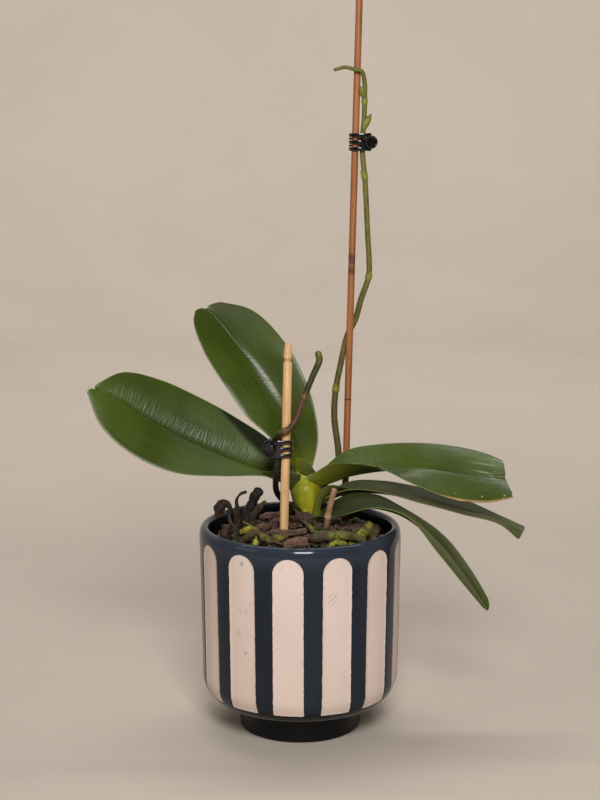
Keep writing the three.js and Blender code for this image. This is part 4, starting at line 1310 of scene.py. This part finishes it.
def spike(skin, points, radii, steps, nodes, sides=20, seed=0.0, dome=(0.4, 1)):
    """A stem with a swollen collar at each node, whose paint says where the collars are."""
    path = Rail(points).even(steps)
    length = sum((q - p).length for p, q in zip(path, path[1:]))
    places = []
    for height in nodes:
        near = min(range(len(path)), key=lambda i: abs(path[i].z - POT_H - height))
        places.append(near / steps)

    def collar(share):
        away = [(share - place) * length for place in places]
        return max((bell(min(d, 0), 1.1) if d < 0 else bell(d, 2.6) for d in away), default=0)

    def radius(share, turn):
        around = Vector((math.cos(turn * TURN), math.sin(turn * TURN), seed))
        rib = 0.035 * noise.noise(around * 2.2 + Vector((0, 0, share * 6)))
        return SPIKE_R * swell(share, radii) * (1 + rib) + 0.55 * collar(share)

    start = len(skin.points)
    tube(skin, path, radius, sides, seed, dome)
    for k in range(start, len(skin.points)):
        share, turn, _ = skin.share[k]
        skin.share[k] = (share, turn, collar(share))
    return path


def bract(skin, foot, ahead, out, length, wide, share):
    """A pointed scale that stands at a node, cupped round the stem."""
    side = ahead.cross(out).normalized()
    rings = []
    for i in range(15):
        s = i / 14
        width = wide * math.sin(math.pi * min(0.28 + 0.72 * s, 0.985)) ** 0.8
        centre = foot + ahead * length * s + out * (0.5 + 0.9 * s * s)
        upper, under = [], []
        for k in range(-5, 6):
            a = k / 5
            point = centre + side * width * a - out * width * 0.75 * a * a
            upper.append(point + out * 0.22 * (1 - a * a))
            under.append(point - out * 0.22)
        rings.append(upper + under[::-1])
    skin.loft(rings, lambda i, j: ((j * 0.5, 0, i * 0.6), (share, j / 22, 0.75)), "strip")


def bud(skin, foot, tip, widths, share):
    """A plump bud that narrows to a blunt point."""
    path = [foot.lerp(tip, i / 16) for i in range(17)]
    start = len(skin.points)
    tube(skin, path, lambda s, t: widths[0] * (1 - s) * 0.9 + widths[1] * s
         + 0.5 * math.sin(math.pi * s) - 0.9 * s ** 4, 16, 0.0, (0.6, 0.9))
    for k in range(start, len(skin.points)):
        skin.share[k] = (share, skin.share[k][1], 0.45)


def bracts(skin, path, stops, stand, wide):
    """A bract at each stop along a spike, standing so far out as a share of the stem's radius."""
    last = len(path) - 1
    for height, degrees, size in stops:
        near = min(range(last), key=lambda i: abs(path[i].z - POT_H - height))
        ahead = (path[near + 1] - path[near]).normalized()
        out = facing(degrees)
        out = (out - ahead * out.dot(ahead)).normalized()
        bract(skin, path[near] + out * (SPIKE_R * stand), ahead, out, size, wide, near / last)


def tall_spike_skin():
    """The tall spike with its two buds and its bracts."""
    skin = Skin()
    path = spike(skin, TALL_ROUTE, TALL_RADII, 330, TALL_NODES)
    bud(skin, by_tall(-4, 270.5, 1), by_tall(0, 279.5, 5.6), (2.2, 1.6), 0.86)
    bud(skin, by_tall(-22, 292, 0.9), by_tall(-62, 298, 0.8), (2.2, 1.7), 0.93)
    bracts(skin, path, TALL_BRACTS, 0.75, 1.9)
    return skin


def short_spike_skin():
    """The short, half-dry spike with its bracts."""
    skin = Skin()
    path = spike(skin, SHORT_ROUTE, SHORT_RADII, 190, SHORT_NODES)
    bracts(skin, path, SHORT_BRACTS, 0.7, 1.7)
    return skin


def stub_skin():
    """The stump of an old spike, cut flat."""
    skin = Skin()
    spike(skin, OLD_STUB, (OLD_STUB_R / SPIKE_R,) * 2, 90, STUB_NODES, dome=(0.4, 0.25))
    return skin


def stake_skin(stake, head, seed, sides=40):
    """A turned stake, slightly out of round, from its point in the bark to its head."""
    skin = Skin()
    radius, top = stake["radius"], stake["top"]
    profile = [(radius * 0.3, -STAKE_DEPTH + 0.2), (radius * 0.5, -STAKE_DEPTH + 0.5),
               (radius, -STAKE_DEPTH + 2 * radius)]
    low, high = -STAKE_DEPTH + 2 * radius, top - head[0][1]
    count = int((high - low) / 4)
    profile += [(radius, low + (high - low) * k / count) for k in range(1, count)]
    profile += [(radius * width, top - drop) for width, drop in head]
    rings = []
    for r, z in profile:
        ring = []
        for c, s in circle(sides):
            around = Vector((c * 1.4, s * 1.4, z * 0.012 + seed))
            reach = r * (1 + 0.035 * noise.noise(around)) - 0.06 * abs(noise.noise(around * 6))
            ring.append(stake_axis(stake, z) + Vector((c, s, 0)) * reach)
        rings.append(ring)
    skin.loft(rings, lambda i, j: (tuple(rings[i][j]), (i / len(rings), j / sides, seed)))
    return skin


# A head up to its top, as (share of the stake's radius, distance below the top).
TALL_HEAD = [(1, 2.2), (1, 1.2), (0.94, 0.7), (0.8, 0.3), (0.58, 0)]
SHORT_HEAD = [
    (1, 14.3), (0.98, 13.9), (0.76, 13.1), (0.72, 12.7), (0.72, 11.4), (0.76, 11), (0.96, 10.3),
    (1, 9.9), (0.985, 9), (0.92, 6.6), (0.86, 4.4), (0.79, 2.4), (0.72, 1.1), (0.6, 0.4), (0.4, 0),
]

# ---------------------------------------------------------------- spring clips

BACK_SHARE = 0.55             # width of a back claw against a front one
ARM_LEAN = 15
ARM_HALF = 2.6
ARM_THICK = 2.2
PAD_TURN = 18
WIRE_R = 0.24
COIL_TURNS = 5.5
COIL_STEPS = 220
FINGER_W = (CLIP_H - 4 * GAP) / (3 + 2 * BACK_SHARE)
BACK_AT = FINGER_W / 2 + GAP
LUG_W = CLIP_H * 0.15
COIL_HALF = CLIP_HALF - 2 * LUG_W - 2 * GAP
# From which height to which each claw reaches, and then each hinge lug.
FINGERS = {
    "front": [(-CLIP_HALF, -CLIP_HALF + FINGER_W), (-FINGER_W / 2, FINGER_W / 2),
              (CLIP_HALF - FINGER_W, CLIP_HALF)],
    "back": [(-BACK_AT - BACK_SHARE * FINGER_W, -BACK_AT), (BACK_AT, BACK_AT + BACK_SHARE * FINGER_W)],
}
LUGS = {
    "front": [(-CLIP_HALF, -CLIP_HALF + LUG_W), (CLIP_HALF - LUG_W, CLIP_HALF)],
    "back": [(-COIL_HALF - GAP - LUG_W, -COIL_HALF - GAP), (COIL_HALF + GAP, COIL_HALF + GAP + LUG_W)],
}
# Each clip: its stake, its height, and which way along X its claws point.
CLIPS = {
    "clip_upper": (TALL_STAKE, TALL_CLIP_Z, -1),
    "clip_lower": (SHORT_STAKE, SHORT_CLIP_Z, 1),
}


def bar(skin, line, low, high, thick, seed=0.0, corner=3.6):
    """A flat strip with rounded edges along a line in plan, from one height to another."""
    rings = []
    middle, half = (low + high) / 2, (high - low) / 2
    last = len(line) - 1
    power = 2 / corner
    for i, (x, y) in enumerate(line):
        x0, y0 = line[max(i - 1, 0)]
        x1, y1 = line[min(i + 1, last)]
        ahead = Vector((x1 - x0, y1 - y0, 0)).normalized()
        out = Vector((-ahead.y, ahead.x, 0))
        ends = min(i, last - i)
        shrink = (0.62, 0.88, 1)[min(ends, 2)]
        ring = []
        for j in range(20):
            turn = j / 20 * TURN
            c, s = math.cos(turn), math.sin(turn)
            side = math.copysign(abs(c) ** power, c) * thick / 2 * shrink
            rise = math.copysign(abs(s) ** power, s) * half * (0.9 if ends == 0 else 1)
            ring.append(Vector((x, y, middle + rise)) + out * side)
        rings.append(ring)
    skin.loft(rings, lambda i, j: ((i * 0.5, j * 0.5, 0), (i / last, j / 20, seed)))


def claw_line(sizes):
    """The middle line of a claw in plan, from the hinge round both stems to its tip."""
    half, tip = sizes["half"], sizes["tip"]
    inner = Rail([
        (-1.5, LUG_R + GAP, 0), (2.5, half + 0.2, 0), (tip * 0.6, half + 0.3, 0),
        (tip - 1, half * 0.72, 0), (tip, 0, 0), (tip - 0.2, -1.4, 0),
    ])
    fine = [inner.at(i / 36) for i in range(37)]
    line = []
    for i, point in enumerate(fine):
        ahead = (fine[min(i + 1, 36)] - fine[max(i - 1, 0)]).normalized()
        line.append((point.x - ahead.y * CLIP_WALL / 2, point.y + ahead.x * CLIP_WALL / 2))
    return line


def jaw_skin(side, sizes):
    """One jaw: its claws, plate, lugs, arm and round thumb pad."""
    skin = Skin()
    line = claw_line(sizes)
    for low, high in FINGERS[side]:
        bar(skin, line, low, high, CLIP_WALL)
    plate = [p for p in line if p[0] <= sizes["tip"] * 0.55]
    bar(skin, plate, -CLIP_HALF, CLIP_HALF, CLIP_WALL, corner=8)
    hole = PIN_R + GAP
    for low, high in LUGS[side]:
        soft = 0.14
        profile = [(hole, low + soft), (hole + soft, low), (LUG_R - soft, low), (LUG_R, low + soft),
                   (LUG_R, high - soft), (LUG_R - soft, high), (hole + soft, high), (hole, high - soft)]
        turned(skin, profile, 24, ends="hoop")
        web = [(0, LUG_R - 0.3), (0, LUG_R + 0.5), (0, LUG_R + GAP + 0.6)]
        bar(skin, web, low, high, 2.6, corner=7)
    sway = math.tan(math.radians(ARM_LEAN))
    arm = [(-sway * y, y) for y in (LUG_R + GAP, 3, 4, 5, 6, PAD_OUT)]
    bar(skin, arm, -ARM_HALF, ARM_HALF, ARM_THICK, corner=4.5)
    place = Matrix.Translation((-1.6, PAD_OUT, 0)) @ Matrix.Rotation(math.radians(PAD_TURN), 4, "Z")
    place = place @ Matrix.Rotation(math.radians(90), 4, "X")
    rim = PAD_R
    pad = [(0.5, -0.3), (rim * 0.66, -0.4), (rim * 0.74, -0.95), (rim * 0.86, -1.1), (rim - 0.15, -0.8),
           (rim, -0.4), (rim, 0.4), (rim - 0.15, 0.8), (rim * 0.86, 1.1), (rim * 0.74, 0.95),
           (rim * 0.66, 0.4), (rim * 0.4, 0.3), (0.4, 0.25)]
    turned(skin, pad, 44, matrix=place)
    if side == "back":
        skin.moved(Matrix.Scale(-1, 4, (0, 1, 0)))
    return skin


def spring_skin():
    """The hinge pin with its headed ends, and the coil round it."""
    skin = Skin()
    end = CLIP_HALF + GAP
    turned(skin, [(0.2, -end), (PIN_R - 0.2, -end), (PIN_R, -end + 0.2), (PIN_R, 0),
                  (PIN_R, end - 0.2), (PIN_R - 0.2, end), (0.2, end)], 24)
    reach = LUG_R - WIRE_R - 0.02
    rise = COIL_HALF - WIRE_R
    coil = []
    for i in range(COIL_STEPS + 1):
        s = i / COIL_STEPS
        angle = s * COIL_TURNS * TURN
        coil.append(Vector((math.cos(angle) * reach, math.sin(angle) * reach, -rise + 2 * rise * s)))
    tube(skin, coil, lambda s, t: WIRE_R, 10, 0.0, (0.8, 0.8))
    return skin


def clip_place(stake, height, claws):
    """Where a clip's own frame stands: its hinge is beside the spike, its claws reach the stake."""
    spike_x = LUG_R + GAP + SPIKE_R + 0.2
    stake_x = spike_x + SPIKE_R + stake["radius"] + CLIP_SPACE
    hinge = stake_axis(stake, height) - Vector((claws * stake_x, 0, 0))
    turn = Matrix.Rotation(math.pi, 4, "Z" if claws < 0 else "X")
    sizes = {"half": max(stake["radius"], SPIKE_R) + 2 * GAP,
             "tip": stake_x + stake["radius"] + 2 * GAP}
    return Matrix.Translation(hinge) @ turn, sizes


# ---------------------------------------------------------------- floor, lights and camera

FLOOR_R = 1920
WALL_BEND = 900
FLOOR_SIDES = 96
# Each lamp's place, what it aims at and its two sizes, all in metres, then the setting that
# holds its power, and its colour.
LAMPS = {
    "key": ((0.08, -1.08, 0.86), (0, 0, 0.2), (0.4, 0.4), "key", (1, 0.985, 0.965)),
    "fill": ((-1.5, -0.7, 0.95), (0, 0, 0.18), (0.9, 0.9), "fill", (1, 0.99, 0.98)),
    "top": ((0.1, 0.35, 1.7), (0, 0, 0.2), (1.1, 0.8), "fill", (1, 0.99, 0.97)),
    "wash": ((0, 0.9, 2.3), (0, 2.7, 0.6), (2.6, 0.6), "wash", (1, 0.985, 0.96)),
}
SKY_TONE = (0.9, 0.92, 0.95)
CAMERA_AT = (0, -1.08, 0.419)
CAMERA_TILT = 80.12


def floor_skin():
    """A round floor that bends up into a wall all round."""
    profile = [(FLOOR_R * k / 16, 0) for k in range(1, 17)]
    for step in range(1, 13):
        bend = step / 12 * math.pi / 2
        profile.append((FLOOR_R + WALL_BEND * math.sin(bend), WALL_BEND - WALL_BEND * math.cos(bend)))
    profile += [(FLOOR_R + WALL_BEND, 1400), (FLOOR_R + WALL_BEND, 2400)]
    rings = [[Vector((r * c, r * s, z)) for c, s in circle(FLOOR_SIDES)] for r, z in profile]
    skin = Skin()
    skin.loft(rings, lambda i, j: ((0, 0, 0), (0, 0, 0)), "open")
    centre = skin.dot((0, 0, 0), (0, 0, 0), (0, 0, 0))
    for j in range(FLOOR_SIDES):
        skin.faces.append((centre, (j + 1) % FLOOR_SIDES, j))
    return skin


def make_floor(stage):
    """Makes the floor, which is no part of the orchid."""
    skin = floor_skin()
    mesh = bpy.data.meshes.new("floor")
    mesh.from_pydata([p * MM for p in skin.points], [], skin.faces)
    mesh.shade_smooth()
    mesh.materials.append(floor_finish(stage))
    add("floor", mesh)


def make_lamps(stage):
    """Makes the four lamps, which the camera doesn't see."""
    for name, (place, aim, size, power, shade) in LAMPS.items():
        data = bpy.data.lights.new(name, "AREA")
        data.shape = "RECTANGLE"
        data.size, data.size_y = size
        data.energy = getattr(stage, power)
        data.color = shade
        lamp = add(name, data)
        lamp.location = place
        lamp.rotation_euler = (Vector(aim) - Vector(place)).to_track_quat("-Z", "Y").to_euler()
        lamp.visible_camera = False


def make_surroundings(scene, stage):
    """Makes the dim light from all round."""
    world = bpy.data.worlds.new("surroundings")
    world.use_nodes = True
    back = world.node_tree.nodes["Background"]
    back.inputs["Color"].default_value = solid(SKY_TONE)
    back.inputs["Strength"].default_value = stage.sky
    scene.world = world
    scene.view_settings.view_transform = "Standard"


def make_camera(scene):
    """Makes the camera, which stands in front and looks a little down."""
    lens = bpy.data.cameras.new("camera")
    lens.sensor_width, lens.lens = 36, 72
    lens.clip_start, lens.clip_end = 0.05, 20
    camera = add("camera", lens)
    camera.location = CAMERA_AT
    camera.rotation_euler = (math.radians(CAMERA_TILT), 0, 0)
    scene.camera = camera


# ---------------------------------------------------------------- what a user may change


def colour(name, description, default):
    """A colour that a user may choose."""
    return FloatVectorProperty(name=name, description=description, subtype="COLOR", size=3,
                               min=0, max=1, default=default)


class PotSizes(bpy.types.PropertyGroup):
    stripes: IntProperty(name="Stripes", description="Bare stripes round the pot",
                         default=13, min=6, max=20)
    stripe_share: FloatProperty(name="Stripe width", description="Share of the pitch left bare",
                                default=0.61, min=0.2, max=0.85, subtype="FACTOR")
    glaze_thick: FloatProperty(name="Glaze", description="How far the glaze stands out",
                               default=0.0004, min=0.0001, max=0.0012, unit="LENGTH")
    glaze: colour("Glaze colour", "Colour of the glossy glaze", tone(30, 38, 50))
    clay: colour("Clay colour", "Colour of the bare stripes", tone(218, 200, 190))


class PlantColours(bpy.types.PropertyGroup):
    leaf: colour("Leaf", "Colour of the sound leaves", tone(63, 77, 18))
    leaf_deep: colour("Deep leaf", "Darker patches of the leaves", tone(44, 56, 15))
    dull_leaf: colour("Old leaf", "Colour of the dull old leaf", tone(76, 80, 46))
    crown: colour("Crown", "Colour of the swollen base", tone(150, 152, 32))
    moss: colour("Moss", "Colour of the moss", tone(42, 50, 18))
    bark: colour("Bark", "Middle shade of the bark chips", tone(104, 78, 60))
    chips: IntProperty(name="Chips", description="Loose chips over the bed", default=330, min=40, max=900)


class StakeColours(bpy.types.PropertyGroup):
    tall: colour("Tall stake", "Stained cane of the tall stake", tone(150, 92, 50))
    short: colour("Short stake", "Pale wood of the short stake", tone(214, 173, 123))


class ClipColours(bpy.types.PropertyGroup):
    plastic: colour("Clips", "Plastic of the spring clips", tone(14, 14, 16))


class StageSettings(bpy.types.PropertyGroup):
    floor: colour("Floor", "Colour of the floor", tone(188, 177, 165))
    key: FloatProperty(name="Key light", description="Strength of the front light",
                       default=15.5, min=0, unit="POWER")
    fill: FloatProperty(name="Fill light", description="Strength of the side light",
                        default=2.4, min=0, unit="POWER")
    sky: FloatProperty(name="Surroundings", description="Strength of the light from all round",
                       default=0.07, min=0, max=4)
    wash: FloatProperty(name="Wall light", description="Strength of the light on the back wall",
                        default=62, min=0, unit="POWER")


# ---------------------------------------------------------------- operators


class ORCHID_OT_pot(bpy.types.Operator):
    """Make the striped pot"""
    bl_idname = "orchid.pot"
    bl_label = "Pot"

    def execute(self, context):
        sizes = context.scene.orchid_pot
        pot_skin(sizes).piece("striped_pot", pot_finish(sizes), "glazed_pot", replaces=("pot",))
        return {"FINISHED"}


class ORCHID_OT_bark(bpy.types.Operator):
    """Make the bark bed, its chips and the moss"""
    bl_idname = "orchid.bark"
    bl_label = "Bark and moss"

    def execute(self, context):
        plants = context.scene.orchid_plants
        bark = bark_finish("bark_finish", tuple(plants.bark), tone(20, 13, 9))
        # Painted shade: the soil under the chips is tinted far darker than the bark, standing in for the
        # shade in the gaps between chips.
        shaded_soil = bark_finish("soil_finish", tuple(Vector(plants.bark) * 0.16), tone(6, 4, 3))
        bed_skin().piece("bark_bed_top", shaded_soil, "bark", replaces=("bark_bed",), crease=60)
        mulch_skin(plants.chips).piece("bark_mulch", bark, "bark", crease=35)
        crumb_skin(CRUMBS).piece("bark_crumbs", bark, "bark", crease=35)
        for i, (middle, size, turns) in enumerate(CHIPS):
            skin = Skin()
            rng = random.Random(100 + i)
            shard(skin, rng, at(*middle), size, turns, sides=18, rings=22, rough=0.3)
            skin.piece(f"chip_{i + 1}", bark, "bark", replaces=(f"bark_chip_{i + 1}",), crease=50)
        moss_skin().piece("moss", moss_finish(plants), "moss", replaces=("moss_tuft",))
        return {"FINISHED"}


class ORCHID_OT_leaves(bpy.types.Operator):
    """Make the crown and its five leaves"""
    bl_idname = "orchid.leaves"
    bl_label = "Crown and leaves"

    def execute(self, context):
        plants = context.scene.orchid_plants
        crown_skin().piece("crown_base", crown_finish(plants), "crown_green", replaces=("crown",))
        shadow_wedge = leaf_finish(plants, "dark_wedge_leaf_finish", plants.leaf, shade="shadow_wedge")
        low = leaf_finish(plants, "low_leaf_finish", plants.leaf, shade="low")
        painted_sheen = leaf_finish(plants, "bloom_leaf_finish", plants.leaf, painted_sheen=True)
        torn = leaf_finish(plants, "torn_leaf_finish", plants.leaf, scorch=0.9)
        dull = leaf_finish(plants, "dull_leaf_finish", plants.dull_leaf, dull=1, shade="root")
        for i, name in enumerate(LEAVES):
            finish = {"leaf_mid_right": dull, "leaf_upper_right": torn, "leaf_left": shadow_wedge,
                      "leaf_lower_right": low, "leaf_back_left": painted_sheen}[name]
            slot = "leaf_dull" if name == "leaf_mid_right" else "leaf_green"
            blade = leaf_skin(name, 1.7 + i * 3.1)
            blade.piece(f"{name}_blade", finish, slot, replaces=(name,), crease=75)
        return {"FINISHED"}


class ORCHID_OT_spikes(bpy.types.Operator):
    """Make the two flower spikes and the old cut stub"""
    bl_idname = "orchid.spikes"
    bl_label = "Flower spikes"

    def execute(self, context):
        fresh = spike_finish("tall_spike_finish", (
            (0, tone(70, 66, 40)), (0.12, tone(78, 74, 42)), (0.3, tone(82, 80, 34)),
            (0.55, tone(100, 98, 40)), (0.75, tone(106, 104, 44)), (1, tone(96, 98, 26))),
            tone(122, 128, 44))
        dry = spike_finish("short_spike_finish", (
            (0, tone(20, 17, 11)), (0.4, tone(20, 17, 12)), (0.56, tone(48, 40, 22)),
            (0.66, tone(78, 52, 36)), (0.76, tone(82, 46, 34)), (0.82, tone(46, 42, 12)),
            (0.94, tone(50, 50, 12)), (1, tone(92, 98, 22))), tone(100, 76, 40), 0.42)
        cut = spike_finish("stub_finish", ((0, tone(112, 84, 66)), (1, tone(160, 122, 98))),
                           tone(176, 142, 112), 0.6)
        tall_spike_skin().piece("tall_spike", fresh, "spike_green", replaces=("flower_spike_tall",))
        short_spike_skin().piece("short_spike", dry, "spike_dry", replaces=("flower_spike_short",))
        stub_skin().piece("cut_stub", cut, "spike_dry", replaces=("old_spike_stub",))
        return {"FINISHED"}


class ORCHID_OT_roots(bpy.types.Operator):
    """Make the aerial roots"""
    bl_idname = "orchid.roots"
    bl_label = "Roots"

    def execute(self, context):
        finishes = {key: root_finish(f"root_{key}_finish", *tones, dead_end=key == "green")
                    for key, tones in ROOT_TONES.items()}
        for i, (name, (_, _, kind)) in enumerate(ROOTS.items()):
            slot = "root_dark" if name in DARK_ROOTS else "root_green"
            root_skin(name, 2.3 * i).piece(f"{name}_live", finishes[kind], slot, replaces=(name,))
        return {"FINISHED"}


class ORCHID_OT_stakes(bpy.types.Operator):
    """Make the two wooden stakes"""
    bl_idname = "orchid.stakes"
    bl_label = "Stakes"

    def execute(self, context):
        woods = context.scene.orchid_stakes
        stained = wood_finish("stained_wood_finish", tuple(woods.tall), tone(84, 44, 28), (
            (81.8, 0.7, 1), (177, 9, 0.75), (262, 3, 0.3)), 0.38)
        pale = wood_finish("pale_wood_finish", tuple(woods.short), tone(166, 118, 78), (
            (SHORT_STAKE["top"] - 12, 1.4, 0.3),), 0.5)
        stake_skin(TALL_STAKE, TALL_HEAD, 1.0).piece(
            "tall_stake", stained, "stained_wood", replaces=("stake_tall",))
        stake_skin(SHORT_STAKE, SHORT_HEAD, 8.0).piece(
            "short_stake", pale, "pale_wood", replaces=("stake_short",))
        return {"FINISHED"}


class ORCHID_OT_clips(bpy.types.Operator):
    """Make the two spring clips"""
    bl_idname = "orchid.clips"
    bl_label = "Spring clips"

    def execute(self, context):
        plastic = plastic_finish(context.scene.orchid_clips)
        steel = steel_finish()
        for name, (stake, height, claws) in CLIPS.items():
            matrix, sizes = clip_place(stake, height, claws)
            jaw_skin("front", sizes).moved(matrix).piece(
                f"{name}_front", plastic, "black_plastic", f"{name}_jaw", (f"{name}_front_jaw",))
            jaw_skin("back", sizes).moved(matrix).piece(
                f"{name}_back", plastic, "black_plastic", "root", (f"{name}_back_jaw",))
            spring_skin().moved(matrix).piece(
                f"{name}_coil", steel, "spring_steel", "root", (f"{name}_spring",))
        return {"FINISHED"}


class ORCHID_OT_stage(bpy.types.Operator):
    """Make the floor, the lights and the camera"""
    bl_idname = "orchid.stage"
    bl_label = "Stage"

    def execute(self, context):
        stage = context.scene.orchid_stage
        make_floor(stage)
        make_lamps(stage)
        make_surroundings(context.scene, stage)
        make_camera(context.scene)
        return {"FINISHED"}


class ORCHID_PT_panel(bpy.types.Panel):
    """Lists the orchid's pieces and what can be changed about them"""
    bl_idname = "ORCHID_PT_panel"
    bl_label = "Potted orchid"
    bl_space_type = "VIEW_3D"
    bl_region_type = "UI"
    bl_category = "Orchid"

    def draw(self, context):
        scene = context.scene
        for group, operators in (
            ("orchid_stage", ("stage",)), ("orchid_pot", ("pot",)),
            ("orchid_plants", ("bark", "leaves", "spikes", "roots")),
            ("orchid_stakes", ("stakes",)), ("orchid_clips", ("clips",)),
        ):
            box = self.layout.box()
            settings = getattr(scene, group)
            for name in settings.__annotations__:
                box.prop(settings, name)
            for name in operators:
                box.operator(f"orchid.{name}")


GROUPS = {
    "orchid_pot": PotSizes, "orchid_plants": PlantColours, "orchid_stakes": StakeColours,
    "orchid_clips": ClipColours, "orchid_stage": StageSettings,
}
CLASSES = (
    *GROUPS.values(), ORCHID_OT_stage, ORCHID_OT_pot, ORCHID_OT_bark, ORCHID_OT_leaves,
    ORCHID_OT_spikes, ORCHID_OT_roots, ORCHID_OT_stakes, ORCHID_OT_clips, ORCHID_PT_panel,
)


def register():
    """Registers the classes and the groups of settings."""
    for cls in CLASSES:
        bpy.utils.register_class(cls)
    for name, group in GROUPS.items():
        setattr(bpy.types.Scene, name, PointerProperty(type=group))


def unregister():
    """Takes away what register added."""
    for name in GROUPS:
        delattr(bpy.types.Scene, name)
    for cls in reversed(CLASSES):
        bpy.utils.unregister_class(cls)


def main():
    """Makes the stage and every piece."""
    register()
    for make in (bpy.ops.orchid.stage, bpy.ops.orchid.pot, bpy.ops.orchid.bark,
                 bpy.ops.orchid.leaves, bpy.ops.orchid.spikes, bpy.ops.orchid.roots,
                 bpy.ops.orchid.stakes, bpy.ops.orchid.clips):
        make()


if __name__ == "__main__":
    main()
